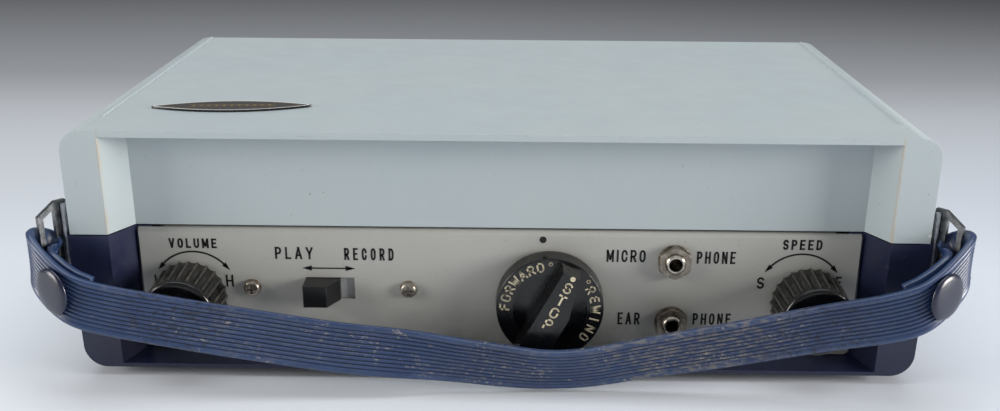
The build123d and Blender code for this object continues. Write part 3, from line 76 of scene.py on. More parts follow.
# ---------------------------------------------------------------- materials
class Look:
    """A principled material whose colour, gloss and relief are built up from procedural masks."""

    def __init__(self, name, color, rough, metal=0.0, coat=0.0):
        self.material = bpy.data.materials.new(name)
        self.material.use_nodes = True
        self.tree = self.material.node_tree
        self.shader = self.tree.nodes["Principled BSDF"]
        self.color = color
        self.rough = rough
        self.bump = None
        self.shader.inputs["Metallic"].default_value = metal
        self.shader.inputs["Coat Weight"].default_value = coat
        self.shader.inputs["Coat Roughness"].default_value = 0.15
        self.place = self.tree.nodes.new("ShaderNodeTexCoord").outputs["Object"]

    def feed(self, socket, value):
        """Link a socket, or set its value."""
        if isinstance(value, bpy.types.NodeSocket):
            self.tree.links.new(value, socket)
        else:
            socket.default_value = value

    def math(self, operation, first, second=0.0):
        node = self.tree.nodes.new("ShaderNodeMath")
        node.operation = operation
        self.feed(node.inputs[0], first)
        self.feed(node.inputs[1], second)
        return node.outputs[0]

    def axis(self, name):
        """Place along one axis, in millimetres."""
        node = self.tree.nodes.new("ShaderNodeSeparateXYZ")
        self.feed(node.inputs[0], self.place)
        return self.math("MULTIPLY", node.outputs[name], 1 / MM)

    def noise(self, size, detail=6.0, stretch=(1, 1, 1), rough=0.6):
        """Fractal noise whose largest features are about size millimetres across."""
        spread = self.tree.nodes.new("ShaderNodeMapping")
        self.feed(spread.inputs["Vector"], self.place)
        spread.inputs["Scale"].default_value = stretch
        node = self.tree.nodes.new("ShaderNodeTexNoise")
        self.feed(node.inputs["Vector"], spread.outputs[0])
        node.inputs["Scale"].default_value = 1 / (size * MM)
        node.inputs["Detail"].default_value = detail
        node.inputs["Roughness"].default_value = rough
        return node.outputs["Fac"]

    def between(self, value, low, high):
        """Mask that rises from 0 to 1 as value goes from low to high."""
        node = self.tree.nodes.new("ShaderNodeMapRange")
        self.feed(node.inputs["Value"], value)
        node.inputs["From Min"].default_value = low
        node.inputs["From Max"].default_value = high
        return node.outputs[0]

    def line(self, value, middle, half, soft):
        """Mask that is 1 within half of middle and fades over soft."""
        away = self.math("ABSOLUTE", self.math("SUBTRACT", value, middle))
        return self.between(away, half + soft, half)

    def both(self, *masks):
        result = masks[0]
        for mask in masks[1:]:
            result = self.math("MULTIPLY", result, mask)
        return result

    def paint(self, mask, color, strength=1.0):
        """Lay a colour over what is there, where the mask says."""
        node = self.tree.nodes.new("ShaderNodeMix")
        node.data_type = "RGBA"
        self.feed(node.inputs["Factor"], self.math("MULTIPLY", mask, strength))
        self.feed(node.inputs["A"], self.color)
        self.feed(node.inputs["B"], color)
        self.color = node.outputs["Result"]
        return self

    def gloss(self, mask, rough, strength=1.0):
        """Change the roughness where the mask says."""
        node = self.tree.nodes.new("ShaderNodeMix")
        self.feed(node.inputs["Factor"], self.math("MULTIPLY", mask, strength))
        self.feed(node.inputs["A"], self.rough)
        self.feed(node.inputs["B"], rough)
        self.rough = node.outputs["Result"]
        return self

    def relief(self, height, depth):
        """Add surface relief of about depth millimetres."""
        node = self.tree.nodes.new("ShaderNodeBump")
        node.inputs["Distance"].default_value = depth * MM
        self.feed(node.inputs["Height"], height)
        if self.bump is not None:
            self.feed(node.inputs["Normal"], self.bump)
        self.bump = node.outputs[0]
        return self

    def done(self):
        self.feed(self.shader.inputs["Base Color"], self.color)
        self.feed(self.shader.inputs["Roughness"], self.rough)
        if self.bump is not None:
            self.feed(self.shader.inputs["Normal"], self.bump)
        return self.material


def lid_paint():
    """Pale grey-blue enamel: faint mottling, specks, hairline scuffs and yellowed inner corners."""
    look = Look("lid_paint", linear(166, 177, 181), 0.34, coat=0.15)
    look.paint(look.between(look.noise(60.0), 0.35, 0.75), linear(172, 181, 182), 0.6)
    look.paint(look.between(look.noise(1.6, 3.0), 0.70, 0.76), linear(96, 92, 84), 0.55)
    across = look.math("ABSOLUTE", look.axis("X"))
    corner = look.line(across, CHEEK_X, 0.15, 0.35)
    ahead = look.between(look.axis("Y"), FRONT + 3.0, FRONT + 1.0)
    look.paint(look.both(corner, ahead, look.between(look.noise(9.0), 0.3, 0.6)), linear(176, 156, 124), 0.5)
    scuff = look.between(look.noise(3.0, 4.0, (0.16, 1, 2.2)), 0.70, 0.75)
    patch = look.between(look.noise(38.0, 2.0), 0.55, 0.7)
    look.paint(look.both(scuff, patch), linear(92, 84, 76), 0.5)
    chips = look.both(look.between(look.noise(2.2), 0.60, 0.64), look.between(across, 107.6, 108.6))
    low = look.between(look.axis("Z"), 52.0, 44.0)
    near = look.between(look.axis("Y"), FRONT + 14.0, FRONT + 5.0)
    look.paint(look.both(chips, low, near), linear(226, 224, 214), 0.9)
    look.gloss(look.between(look.noise(7.0), 0.4, 0.7), 0.5, 0.6)
    return look.relief(look.noise(1.2, 3.0), 0.012).done()


def base_enamel():
    """Navy enamel, scuffed grey along its edges."""
    look = Look("base_enamel", linear(21, 26, 51), 0.3, coat=0.12)
    look.paint(look.between(look.noise(30.0), 0.4, 0.7), linear(29, 36, 66), 0.7)
    look.paint(look.between(look.noise(1.1, 4.0), 0.66, 0.74), linear(96, 100, 120), 0.35)
    scratches = look.between(look.noise(2.0, 5.0, (0.25, 1, 0.8)), 0.68, 0.73)
    look.paint(scratches, linear(120, 124, 140), 0.35)
    look.gloss(look.between(look.noise(5.0), 0.35, 0.7), 0.48, 0.8)
    return look.relief(look.noise(0.9, 3.0), 0.02).done()


def panel_paint():
    """Warm grey satin plate with fine grain, a little dirt and painted shade along its lower part."""
    look = Look("panel_paint", linear(167, 168, 163), 0.42)
    look.paint(look.between(look.noise(40.0), 0.35, 0.7), linear(160, 160, 156), 0.8)
    look.paint(look.between(look.noise(1.0, 2.0), 0.68, 0.76), linear(110, 106, 98), 0.35)
    # Darker towards the bottom, broken up by noise: painted shade where the strap hangs in front.
    painted_shade_low = look.between(look.axis("Z"), 17.0, 5.0)
    look.paint(look.both(painted_shade_low, look.between(look.noise(8.0), 0.2, 0.6)), linear(86, 83, 78), 0.75)
    return look.relief(look.noise(0.5, 2.0), 0.01).done()


def knob_plastic(name, centre, fluted):
    """Black moulded plastic; the ridges between a tapered knob's flutes are worn to tan."""
    look = Look(name, linear(9, 9, 10), 0.16)
    if fluted:
        across = look.math("SUBTRACT", look.axis("X"), centre[0])
        up = look.math("SUBTRACT", look.axis("Z"), centre[1])
        angle = look.math("ARCTAN2", up, across)
        crest = look.between(look.math("COSINE", look.math("MULTIPLY", angle, FLUTES)), 0.62, 0.95)
        side = look.between(look.math("SUBTRACT", PANEL_FACE, look.axis("Y")), FLUTE_END, FLUTE_END - 1)
        worn = look.both(crest, side, look.between(look.noise(2.4), 0.3, 0.6))
        look.paint(worn, linear(98, 93, 84), 0.6)
        look.gloss(worn, 0.5)
    look.paint(look.between(look.noise(0.8, 4.0), 0.66, 0.76), linear(88, 84, 76), 0.3)
    look.gloss(look.between(look.noise(4.0), 0.4, 0.7), 0.42, 0.7)
    return look.relief(look.noise(0.6, 3.0), 0.012).done()


def metal(name, bright, dark, rough, grain=1.5):
    """Metal mottled between a clean and a tarnished colour."""
    look = Look(name, bright, rough, metal=1.0)
    look.paint(look.between(look.noise(grain), 0.38, 0.68), dark, 0.85)
    look.gloss(look.between(look.noise(grain * 1.7), 0.4, 0.7), min(1.0, rough + 0.25), 0.8)
    return look.relief(look.noise(grain * 0.4, 3.0), 0.02).done()


def strap_vinyl():
    """Blue-black ribbed vinyl with painted highlight patches, a dusty bloom and flaking along the ribs in
    the middle.
    """
    look = Look("strap_vinyl", linear(27, 46, 82), 0.36, coat=0.3)
    # Lighter blue patches at random: painted highlights standing in for the vinyl's sheen.
    look.paint(look.between(look.noise(14.0), 0.35, 0.7), linear(42, 66, 104), 0.6)
    middle = look.between(look.math("ABSOLUTE", look.axis("X")), 106.0, 82.0)
    dust = look.between(look.noise(1.2, 7.0, (0.5, 1, 1)), 0.45, 0.62)
    bloom = look.between(look.noise(20.0, 4.0), 0.42, 0.62)
    look.paint(look.both(middle, dust, bloom), linear(92, 92, 94), 0.35)
    lint = look.line(look.axis("X"), 50.0, 12.0, 20.0)
    look.paint(look.both(lint, dust), linear(112, 108, 100), 0.6)
    flakes = look.between(look.noise(0.8, 6.0, (0.6, 1, 1)), 0.57, 0.63)
    patches = look.between(look.noise(11.0, 4.0), 0.50, 0.60)
    look.paint(look.both(middle, flakes, patches), linear(158, 150, 134), 0.55)
    ends = look.line(look.math("ABSOLUTE", look.axis("X")), 80.0, 8.0, 10.0)
    crumbs = look.between(look.noise(0.9, 5.0, (0.7, 1, 1)), 0.54, 0.6)
    look.paint(look.both(ends, crumbs), linear(22, 26, 38), 0.8)
    look.gloss(look.both(middle, look.between(look.noise(6.0), 0.3, 0.6)), 0.62, 0.9)
    return look.relief(look.noise(0.8, 4.0), 0.03).done()


def cap_enamel():
    """Dark blue enamel of the snap caps, a little mottled."""
    look = Look("cap_enamel", linear(23, 28, 50), 0.26, coat=0.1)
    look.paint(look.between(look.noise(3.0), 0.4, 0.7), linear(20, 23, 34), 0.6)
    return look.done()


def floor_paper():
    """Pale paper that falls into shade towards the back and the right."""
    look = Look("floor_paper", linear(214, 219, 226), 0.6)
    depth = look.axis("Y")
    rightward = look.axis("X")
    look.paint(look.between(rightward, 20.0, 240.0), linear(194, 201, 212), 0.9)
    look.paint(look.between(depth, 20.0, 330.0), linear(150, 153, 158))
    look.paint(look.between(depth, 240.0, 760.0), linear(66, 68, 72))
    shade = look.both(look.between(depth, 300.0, 800.0), look.between(rightward, -50.0, 400.0))
    look.paint(shade, linear(46, 48, 52), 0.9)
    return look.done()


def plain(name, color, rough, metallic=0.0, size=4.0):
    """Simple material with a little variation."""
    look = Look(name, color, rough, metal=metallic)
    darker = tuple(0.7 * value for value in color[:3]) + (1.0,)
    look.paint(look.between(look.noise(size), 0.35, 0.7), darker, 0.7)
    return look.relief(look.noise(size / 4, 3.0), 0.01).done()


LID = lid_paint()
BASE = base_enamel()
PANEL = panel_paint()
STRAP = strap_vinyl()
# Darker blue for the faces in the strap's grooves: painted shade.
GROOVE_SHADE = plain("strap_groove_shade", linear(20, 32, 58), 0.6, size=1.0)
WORN = metal("worn_steel", linear(120, 122, 124), linear(52, 54, 58), 0.35)
BRIGHT = metal("bright_steel", linear(186, 190, 196), linear(110, 114, 120), 0.3)
TARNISH = metal("tarnished_nickel", linear(158, 150, 138), linear(84, 74, 62), 0.32)
NICKEL = metal("nickel", linear(196, 190, 180), linear(120, 108, 92), 0.22)
SCREW = metal("screw_nickel", linear(192, 186, 176), linear(112, 92, 72), 0.28)
BRASS = metal("brass", linear(196, 168, 110), linear(120, 96, 56), 0.35)
GILT = plain("gilt", linear(172, 142, 96), 0.45, metallic=0.5, size=1.0)
CAP = cap_enamel()
RIM = plain("badge_rim", linear(222, 226, 226), 0.35)
INK = plain("legend_ink", linear(10, 10, 12), 0.6)
FILL = plain("letter_fill", linear(206, 196, 168), 0.5, size=0.8)
BLACK = plain("black_enamel", linear(16, 16, 18), 0.2)
FUNCTION_BLACK = knob_plastic("function_plastic", FUNCTION, False)
VOLUME_BLACK = knob_plastic("volume_plastic", (-KNOB_X, KNOB_Z), True)
SPEED_BLACK = knob_plastic("speed_plastic", (KNOB_X, KNOB_Z), True)
SWITCH = plain("switch_plastic", linear(9, 10, 14), 0.36, size=1.0)
SLOT_GREY = plain("slot_plate", linear(176, 178, 178), 0.5)
PHENOLIC = plain("phenolic", linear(120, 78, 44), 0.5)
ZINC = metal("deck_zinc", linear(170, 172, 172), linear(140, 142, 142), 0.42, 8.0)
CLEAR = plain("reel_plastic", linear(196, 198, 194), 0.3)
OXIDE = plain("tape_oxide", linear(92, 56, 36), 0.3)
RUBBER = plain("rubber", linear(28, 28, 28), 0.7)
FELT = plain("felt", linear(190, 182, 150), 0.95, size=0.5)
COMPONENT = plain("component", linear(60, 74, 110), 0.35)
CELL = plain("cell_jacket", linear(120, 52, 40), 0.35)
PAPER = plain("cone_paper", linear(34, 32, 30), 0.9)

NODE_LOOKS = {
    BASE: ["base_tub", "battery_door"],
    LID: ["lid_shell"],
    BLACK: ["lid_badge"],
    PANEL: ["control_panel"],
    FUNCTION_BLACK: ["function_knob"],
    VOLUME_BLACK: ["volume_knob"],
    SPEED_BLACK: ["speed_knob"],
    SWITCH: ["switch_slider", "battery_box"],
    SCREW: ["switch_screws", "deck_screws"],
    TARNISH: ["jack_washers", "jack_nuts"],
    NICKEL: ["microphone_jack", "earphone_jack", "tape_guides", "record_head", "battery_contacts"],
    WORN: ["strap_ring_left", "strap_ring_right"],
    BRIGHT: [
        "strap_brackets", "bracket_rivets", "hinge_pins", "volume_pot", "speed_pot", "volume_shaft",
        "speed_shaft", "function_shaft", "detent_spring", "pressure_arm", "erase_arm", "motor_plate",
        "drive_motor", "transformers", "speaker_frame",
    ],
    BRASS: ["function_bushing", "spindle_bushes", "snap_sockets"],
    ZINC: ["deck_plate", "function_cam", "supply_platter", "takeup_platter"],
    CLEAR: ["supply_reel", "takeup_reel"],
    OXIDE: ["supply_tape_pack", "takeup_tape_pack", "magnetic_tape"],
    RUBBER: ["rubber_feet", "drive_roller"],
    FELT: ["felt_pad"],
    PHENOLIC: ["circuit_board", "switch_body"],
    COMPONENT: ["transistors", "capacitors", "erase_magnet"],
    CELL: ["battery_cells"],
    PAPER: ["speaker_cone"],
}
EDGES = {
    "base_tub": 0.6, "lid_shell": 0.9, "control_panel": 0.15, "lid_badge": 0.12, "volume_knob": 0.18,
    "speed_knob": 0.18, "function_knob": 0.18, "switch_slider": 0.25, "strap_brackets": 0.12,
    "strap_ring_left": 0.2, "strap_ring_right": 0.2, "jack_nuts": 0.2, "jack_washers": 0.1,
}
for look_material, names in NODE_LOOKS.items():
    for name in names:
        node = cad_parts[name]
        node.data.materials.clear()
        node.data.materials.append(look_material)
        weld = node.modifiers.new("weld", "WELD")
        weld.merge_threshold = 0.002 * MM
        if name in EDGES:
            bevel = node.modifiers.new("soft_edge", "BEVEL")
            bevel.width = EDGES[name] * MM
            bevel.segments = 3
            bevel.limit_method = "ANGLE"
            bevel.angle_limit = SOFT_EDGE_TURN
            bevel.use_clamp_overlap = True
            bevel.harden_normals = True


# ---------------------------------------------------------------- mesh helpers
def make_piece(name, points, faces, material, body, smooth=False):
    """Mesh from points in millimetres that rides on a body."""
    mesh = bpy.data.meshes.new(name)
    mesh.from_pydata([Vector(point) * MM for point in points], [], faces)
    mesh.update()
    mesh.materials.append(material)
    if smooth:
        mesh.polygons.foreach_set("use_smooth", [True] * len(mesh.polygons))
    piece = bpy.data.objects.new(name, mesh)
    bpy.context.scene.collection.objects.link(piece)
    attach(piece, body)
    return piece


def tube_faces(rings, around):
    """Faces that join rings of points, around points to a ring, and close both ends."""
    faces = []
    for ring in range(rings - 1):
        for step in range(around):
            a = ring * around + step
            b = ring * around + (step + 1) % around
            faces.append((a, b, b + around, a + around))
    faces.append(tuple(reversed(range(around))))
    faces.append(tuple(range((rings - 1) * around, rings * around)))
    return faces


def facing(depth):
    """Turns (X, Z) into a place on a plane that faces the front, at a depth along Y."""
    return lambda point: (point[0], depth, point[1])


def corner_reach(first, second):
    """How far two runs are carried past their corner, in half widths; 1 at a free end or sharp turn."""
    if first is None or second is None or first.angle(second) > math.pi / 2:
        return 1.0
    return math.tan(first.angle(second) / 2)


class Print:
    """Flat printing gathered into one mesh: strokes, discs and filled shapes on a plane."""

    def __init__(self):
        self.points = []
        self.faces = []

    def stroke(self, path, width, place, closed=False):
        """Line of a width along a path: square ends, and each straight run carried out to its corners."""
        path = [Vector(point) for point in path]
        if closed:
            path.append(path[0])
        path = path[:1] + [point for last, point in zip(path, path[1:]) if (point - last).length > 1e-4]
        sides = [(b - a).normalized() for a, b in zip(path, path[1:])]
        half = width / 2
        for index, side in enumerate(sides):
            before = sides[index - 1] if index or closed else None
            after = sides[(index + 1) % len(sides)] if index < len(sides) - 1 or closed else None
            tail = path[index] - side * half * corner_reach(before, side)
            head = path[index + 1] + side * half * corner_reach(side, after)
            across = Vector((-side.y, side.x)) * half
            self.polygon([tail - across, head - across, head + across, tail + across], place)

    def disc(self, centre, radius, place, steps=28):
        start = len(self.points)
        for step in range(steps):
            angle = 2 * math.pi * step / steps
            self.points.append(place(Vector(centre) + radius * Vector((math.cos(angle), math.sin(angle)))))
        self.faces.append(tuple(range(start, start + steps)))

    def polygon(self, corners, place):
        start = len(self.points)
        self.points.extend(place(Vector(corner)) for corner in corners)
        self.faces.append(tuple(range(start, start + len(corners))))

    def piece(self, name, material, body):
        return make_piece(name, self.points, self.faces, material, body)


def arc(centre, radii, start, end, steps=10):
    """Points on an ellipse arc; angles in degrees, anticlockwise from the right."""
    points = []
    for step in range(steps + 1):
        angle = math.radians(start + (end - start) * step / steps)
        points.append((centre[0] + radii[0] * math.cos(angle), centre[1] + radii[1] * math.sin(angle)))
    return points


# Strokes of the capitals on a cell one unit wide and high, with each letter's relative width.
BOWL = [(0, 0.46), (0.5, 0.46)] + arc((0.5, 0.73), (0.5, 0.27), -90, 90) + [(0, 1)]
CURL = arc((0.5, 0.74), (0.5, 0.26), 25, 270) + arc((0.5, 0.26), (0.5, 0.26), 90, -155)
GLYPHS = {
    "A": (1.0, [[(0, 0), (0.5, 1), (1, 0)], [(0.17, 0.3), (0.83, 0.3)]]),
    "C": (0.9, [arc((0.5, 0.68), (0.5, 0.32), 0, 180) + arc((0.5, 0.32), (0.5, 0.32), 180, 360)]),
    "D": (0.9, [[(0, 0), (0, 1), (0.45, 1)] + arc((0.45, 0.6), (0.55, 0.4), 90, 0, 6)
                + arc((0.45, 0.4), (0.55, 0.4), 0, -90, 6) + [(0, 0)]]),
    "E": (0.8, [[(1, 1), (0, 1), (0, 0), (1, 0)], [(0, 0.52), (0.85, 0.52)]]),
    "F": (0.8, [[(1, 1), (0, 1), (0, 0)], [(0, 0.5), (0.85, 0.5)]]),
    "H": (0.9, [[(0, 0), (0, 1)], [(1, 0), (1, 1)], [(0, 0.5), (1, 0.5)]]),
    "I": (0.0, [[(0, 0), (0, 1)]]),
    "L": (0.75, [[(0, 1), (0, 0), (1, 0)]]),
    "M": (1.15, [[(0, 0), (0, 1), (0.5, 0.2), (1, 1), (1, 0)]]),
    "N": (0.9, [[(0, 0), (0, 1), (1, 0), (1, 1)]]),
    "O": (0.9, [arc((0.5, 0.68), (0.5, 0.32), 0, 180) + arc((0.5, 0.32), (0.5, 0.32), 180, 360)
                + [(1, 0.68)]]),
    "P": (0.85, [[(0, 0), (0, 0.46)] + BOWL + [(0, 0.4)]]),
    "R": (0.9, [[(0, 0), (0, 0.46)] + BOWL + [(0, 0.4)], [(0.5, 0.46), (1, 0)]]),
    "S": (0.85, [CURL]),
    "T": (0.9, [[(0, 1), (1, 1)], [(0.5, 1), (0.5, 0)]]),
    "U": (0.9, [[(0, 1), (0, 0.3)] + arc((0.5, 0.3), (0.5, 0.3), 180, 360) + [(1, 1)]]),
    "V": (1.0, [[(0, 1), (0.5, 0), (1, 1)]]),
    "W": (1.3, [[(0, 1), (0.25, 0), (0.5, 0.85), (0.75, 0), (1, 1)]]),
    "Y": (1.0, [[(0, 1), (0.5, 0.46), (1, 1)], [(0.5, 0.46), (0.5, 0)]]),
}


def glyph(sheet, letter, corner, size, weight, place):
    """One capital whose ink fills a box with its lower left corner at corner."""
    for path in GLYPHS[letter][1]:
        inset = weight / 2
        spots = [(corner[0] + inset + x * (size[0] - weight), corner[1] + inset + y * (size[1] - weight))
                 for x, y in path]
        sheet.stroke(spots, weight, place)


def word(sheet, text, left, right, low, high, weight, place, gap):
    """A word set so that its ink runs from left to right and from low to high."""
    ink = right - left - gap * (len(text) - 1) - weight * len(text)
    unit = ink / sum(GLYPHS[letter][0] for letter in text)
    x = left
    for letter in text:
        wide = GLYPHS[letter][0] * unit + weight
        glyph(sheet, letter, (x, low), (wide, high - low), weight, place)
        x += wide + gap


# ---------------------------------------------------------------- printing on the panel
on_panel = facing(PANEL_FACE - INK_LIFT)
legends = Print()
WEIGHT = 0.52                # line width of the capitals
CLOSE = 0.72                 # gaps between letters, in a close word and in an open one
OPEN = 1.0
LEGENDS = [
    ("VOLUME", -86.5, -73.9, 33.4, 36.1, CLOSE), ("SPEED", 74.0, 84.2, 34.7, 37.5, CLOSE),
    ("PLAY", -58.7, -48.7, 30.6, 34.0, OPEN), ("RECORD", -40.5, -27.5, 30.5, 33.9, OPEN),
    ("MICRO", 28.3, 38.5, 30.8, 34.2, CLOSE), ("PHONE", 51.9, 62.0, 30.6, 34.0, CLOSE),
    ("EAR", 31.9, 37.8, 13.0, 16.5, CLOSE), ("PHONE", 51.9, 62.0, 13.2, 16.5, CLOSE),
    ("L", -91.2, -89.9, 22.5, 25.8, CLOSE), ("H", -72.2, -70.2, 22.6, 26.0, CLOSE),
    ("S", 68.1, 70.0, 23.7, 27.0, CLOSE), ("F", 88.7, 90.2, 24.2, 27.4, CLOSE),
]
for text, left, right, low, high, gap in LEGENDS:
    word(legends, text, left, right, low, high, WEIGHT, on_panel, gap)
legends.disc((11.6, 36.75), 0.92, on_panel)


def arrow_head(sheet, tip, direction, length, half):
    """Solid arrow head that ends at tip."""
    side = Vector((-direction[1], direction[0])) * half
    back = Vector(tip) - Vector(direction) * length
    sheet.polygon([tip, back + side, back - side], on_panel)


legends.stroke([(-50.6, 28.15), (-38.8, 28.15)], 0.4, on_panel)
arrow_head(legends, (-51.8, 28.15), (-1, 0), 2.6, 0.75)
arrow_head(legends, (-37.7, 28.15), (1, 0), 2.6, 0.75)
ARC_RADIUS = 11.05
for middle in ((-80.4, 21.4), (79.4, 22.5)):
    sweep = arc(middle, (ARC_RADIUS, ARC_RADIUS), 38, 142, 24)
    legends.stroke(sweep, 0.5, on_panel)
    for end, neighbour in ((0, 2), (-1, -3)):
        tip = Vector(sweep[end])
        heading = (tip - Vector(sweep[neighbour])).normalized()
        arrow_head(legends, tip + heading * 1.3, heading, 2.4, 0.7)
legends.piece("panel_legends", INK, "base")

# ---------------------------------------------------------------- function knob lettering
BAR_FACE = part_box("function_knob")[0][1] / MM
RING_BEHIND = 6.8            # the knob's ring lies this far behind its bar
on_bar = facing(BAR_FACE - INK_LIFT)
on_ring = facing(BAR_FACE + RING_BEHIND - INK_LIFT)


def knob_spot(angle, radius):
    """(X, Z) on the function knob, by degrees clockwise from the top."""
    return Vector((FUNCTION[0] + radius * math.sin(math.radians(angle)),
                   FUNCTION[1] + radius * math.cos(math.radians(angle))))


def knob_letter(sheet, letter, angle, turn, radius, size, weight, surface):
    """A capital centred on the knob at an angle and radius, its top turned clockwise by turn."""
    centre = knob_spot(angle, radius)
    across = Vector((math.cos(math.radians(turn)), -math.sin(math.radians(turn))))
    up = Vector((math.sin(math.radians(turn)), math.cos(math.radians(turn))))
    wide = GLYPHS[letter][0] * size[0] + weight

    def place(point):
        spot = centre + across * point[0] + up * point[1]
        return surface(spot)

    glyph(sheet, letter, (-wide / 2, -size[1] / 2), (wide, size[1]), weight, place)


engraving = Print()
for step, letter in enumerate("FORWARD"):
    turn = -87.4 + 12.4 * step
    knob_letter(engraving, letter, turn, turn, 11.9, (1.6, 2.7), 0.48, on_ring)
for step, letter in enumerate("REWIND"):
    turn = 62.0 + 13.7 * step
    knob_letter(engraving, letter, turn, turn, 11.9, (1.5, 2.6), 0.44, on_ring)
for along, letter in zip((9.6, 5.9, 2.1, -1.4), "STOP"):
    knob_letter(engraving, letter, FUNCTION_TURN, FUNCTION_TURN, along, (1.9, 3.0), 0.5, on_bar)
engraving.disc(knob_spot(FUNCTION_TURN, 12.4), 0.68, on_bar)
for angle in (0.0, 51.4):
    ring = arc(knob_spot(angle, 12.6), (0.42, 0.42), 0, 340, 16)
    engraving.stroke(ring, 0.24, on_ring, closed=True)
engraving.piece("knob_lettering", FILL, "function_control")

# ---------------------------------------------------------------- badge
badge = Print()
BADGE_CENTRE = Vector((-71.5, FRONT + 26.0))
BADGE_TURN = Matrix.Rotation(math.radians(4.5), 2)
BADGE_HALF = (21.2, 5.3)
badge_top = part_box("lid_badge")[1][2] / MM


def on_badge(point):
    """A place on the badge's top, from (along, across) about its middle."""
    spot = BADGE_CENTRE + BADGE_TURN @ Vector(point)
    return (spot.x, spot.y, badge_top + INK_LIFT)


def lens(share):
    """Outline of the badge's pointed oval, scaled."""
    radius = (BADGE_HALF[0] ** 2 + BADGE_HALF[1] ** 2) / 2 / BADGE_HALF[1]
    reach = math.degrees(math.asin(BADGE_HALF[0] / radius))
    drop = radius - BADGE_HALF[1]
    upper = arc((0, -drop), (radius, radius), 90 + reach, 90 - reach, 24)
    lower = arc((0, drop), (radius, radius), -90 + reach, -90 - reach, 24)
    return [(x * share, y * share) for x, y in upper + lower[1:-1]]


badge.stroke(lens(0.86), 0.16, on_badge, closed=True)
for level in (-0.9, 0.9):
    badge.stroke([(-11.5, level), (11.5, level)], 0.22, on_badge)
for step in range(-5, 6):
    badge.polygon([(2.0 * step - 0.5, 0), (2.0 * step, 0.45), (2.0 * step + 0.5, 0), (2.0 * step, -0.45)],
                  on_badge)
badge.piece("badge_gilding", GILT, "lid")

rim = Print()
rim.stroke(lens(0.98), 0.42, on_badge, closed=True)
rim.piece("badge_rim", RIM, "lid")

# ---------------------------------------------------------------- carrying strap
# The middle line in plan is (X, Y from the front): the right-hand loop from its tail, then the span;
# the left-hand loop mirrors the right one. Its height and its lean in degrees are read by X.
STRAP_HOOK = [
    (102.4, -9.3), (106.0, -8.3), (109.5, -6.5), (112.4, -3.9), (113.4, -0.9), (114.7, 1.0),
    (116.7, 1.2), (118.1, -0.4), (118.0, -3.4), (115.2, -7.2), (109.8, -11.1), (104.0, -13.2), (96.0, -12.9),
]
STRAP_SPAN = [
    (80, -10.9), (60, -9.9), (40, -9.0), (20, -8.7), (0, -8.9), (-20, -9.3), (-40, -9.9),
    (-60, -10.4), (-80, -11.2),
]
STRAP_HANG = [
    (-122, 37.2), (-118, 34.7), (-110, 28.9), (-100, 25.0), (-80, 20.2), (-60, 16.6), (-40, 13.4),
    (-20, 11.2), (0, 8.6), (12, 7.4), (24, 8.2), (40, 11.5), (60, 15.7), (80, 20.4), (100, 25.4),
    (110, 30.2), (118, 36.6), (122, 39.4),
]
STRAP_LEAN = [(-125, 0), (-104, 4), (-60, 17), (-36, 16), (-6, -10), (16, -20), (34, -18), (56, -11),
              (84, -5), (104, 0), (125, 0)]
STRAP_HALF = 6.45
STRAP_THICK = 1.8
RIBS = 9
RIB_STEPS = 8
RIB_HALF = 4.9
RIB_HIGH = 0.45
GROOVE_WAVE = 0.5            # where the rib wave is lower than this, the face is in a groove


def curve_through(points, steps):
    """Catmull-Rom curve through points, with a number of steps in each span."""
    points = [Vector(point) for point in points]
    ends = [2 * points[0] - points[1]] + points + [2 * points[-1] - points[-2]]
    result = []
    for index in range(1, len(ends) - 2):
        a, b, c, d = ends[index - 1:index + 3]
        for step in range(steps):
            t = step / steps
            result.append(0.5 * (2 * b + (c - a) * t + (2 * a - 5 * b + 4 * c - d) * t * t
                                 + (3 * b - a - 3 * c + d) * t ** 3))
    return result + [points[-1]]


def look_up(table, value):
    """Smooth reading of a short given table."""
    for (x0, y0), (x1, y1) in zip(table, table[1:]):
        if value <= x1:
            share = max(0.0, (value - x0) / (x1 - x0))
            share = share * share * (3 - 2 * share)
            return y0 + (y1 - y0) * share
    return table[-1][1]


hang_curve = [(point.x, point.y) for point in curve_through(STRAP_HANG, 8)]


def height_at(x):
    """Height of the strap's middle line."""
    for (x0, z0), (x1, z1) in zip(hang_curve, hang_curve[1:]):
        if x <= x1:
            return z0 + (z1 - z0) * (x - x0) / (x1 - x0)
    return hang_curve[-1][1]


def strap_section():
    """Closed outline across the strap: (across, out) with ribs on the outer face."""
    outline = []
    steps = RIBS * RIB_STEPS
    for step in range(steps + 1):
        across = -RIB_HALF + 2 * RIB_HALF * step / steps
        wave = abs(math.sin(math.pi * RIBS * step / steps))
        outline.append((across, STRAP_THICK / 2 - RIB_HIGH * (1 - wave ** 0.7)))
    edge = [(STRAP_HALF - 0.25, STRAP_THICK / 2), (STRAP_HALF, STRAP_THICK / 2 - 0.3)]
    back = [(STRAP_HALF, 0.3 - STRAP_THICK / 2), (STRAP_HALF - 0.25, -STRAP_THICK / 2)]
    shoulder = [(RIB_HALF + 0.25, STRAP_THICK / 2)]
    right = shoulder + edge + back
    left = [(-across, out) for across, out in reversed(right)]
    return outline + right + left


hook_left = [(-x, y) for x, y in reversed(STRAP_HOOK)]
plan = curve_through([(x, FRONT + y) for x, y in STRAP_HOOK + STRAP_SPAN + hook_left], 14)
strap_path = [Vector((point.x, point.y, height_at(point.x))) for point in plan]
section = strap_section()
strap_points = []
for index, spot in enumerate(strap_path):
    after = strap_path[min(index + 1, len(strap_path) - 1)]
    before = strap_path[max(index - 1, 0)]
    along = (after - before).normalized()
    out = Vector((-along.y, along.x, 0)).normalized()
    up = along.cross(out)
    lean = Matrix.Rotation(math.radians(look_up(STRAP_LEAN, spot.x)), 3, along)
    out = lean @ out
    up = lean @ up
    strap_points.extend(spot + up * across + out * height for across, height in section)
ring_size = len(section)
strap = make_piece("strap_ribbon", strap_points, tube_faces(len(strap_path), ring_size), STRAP, "base",
                   smooth=True)
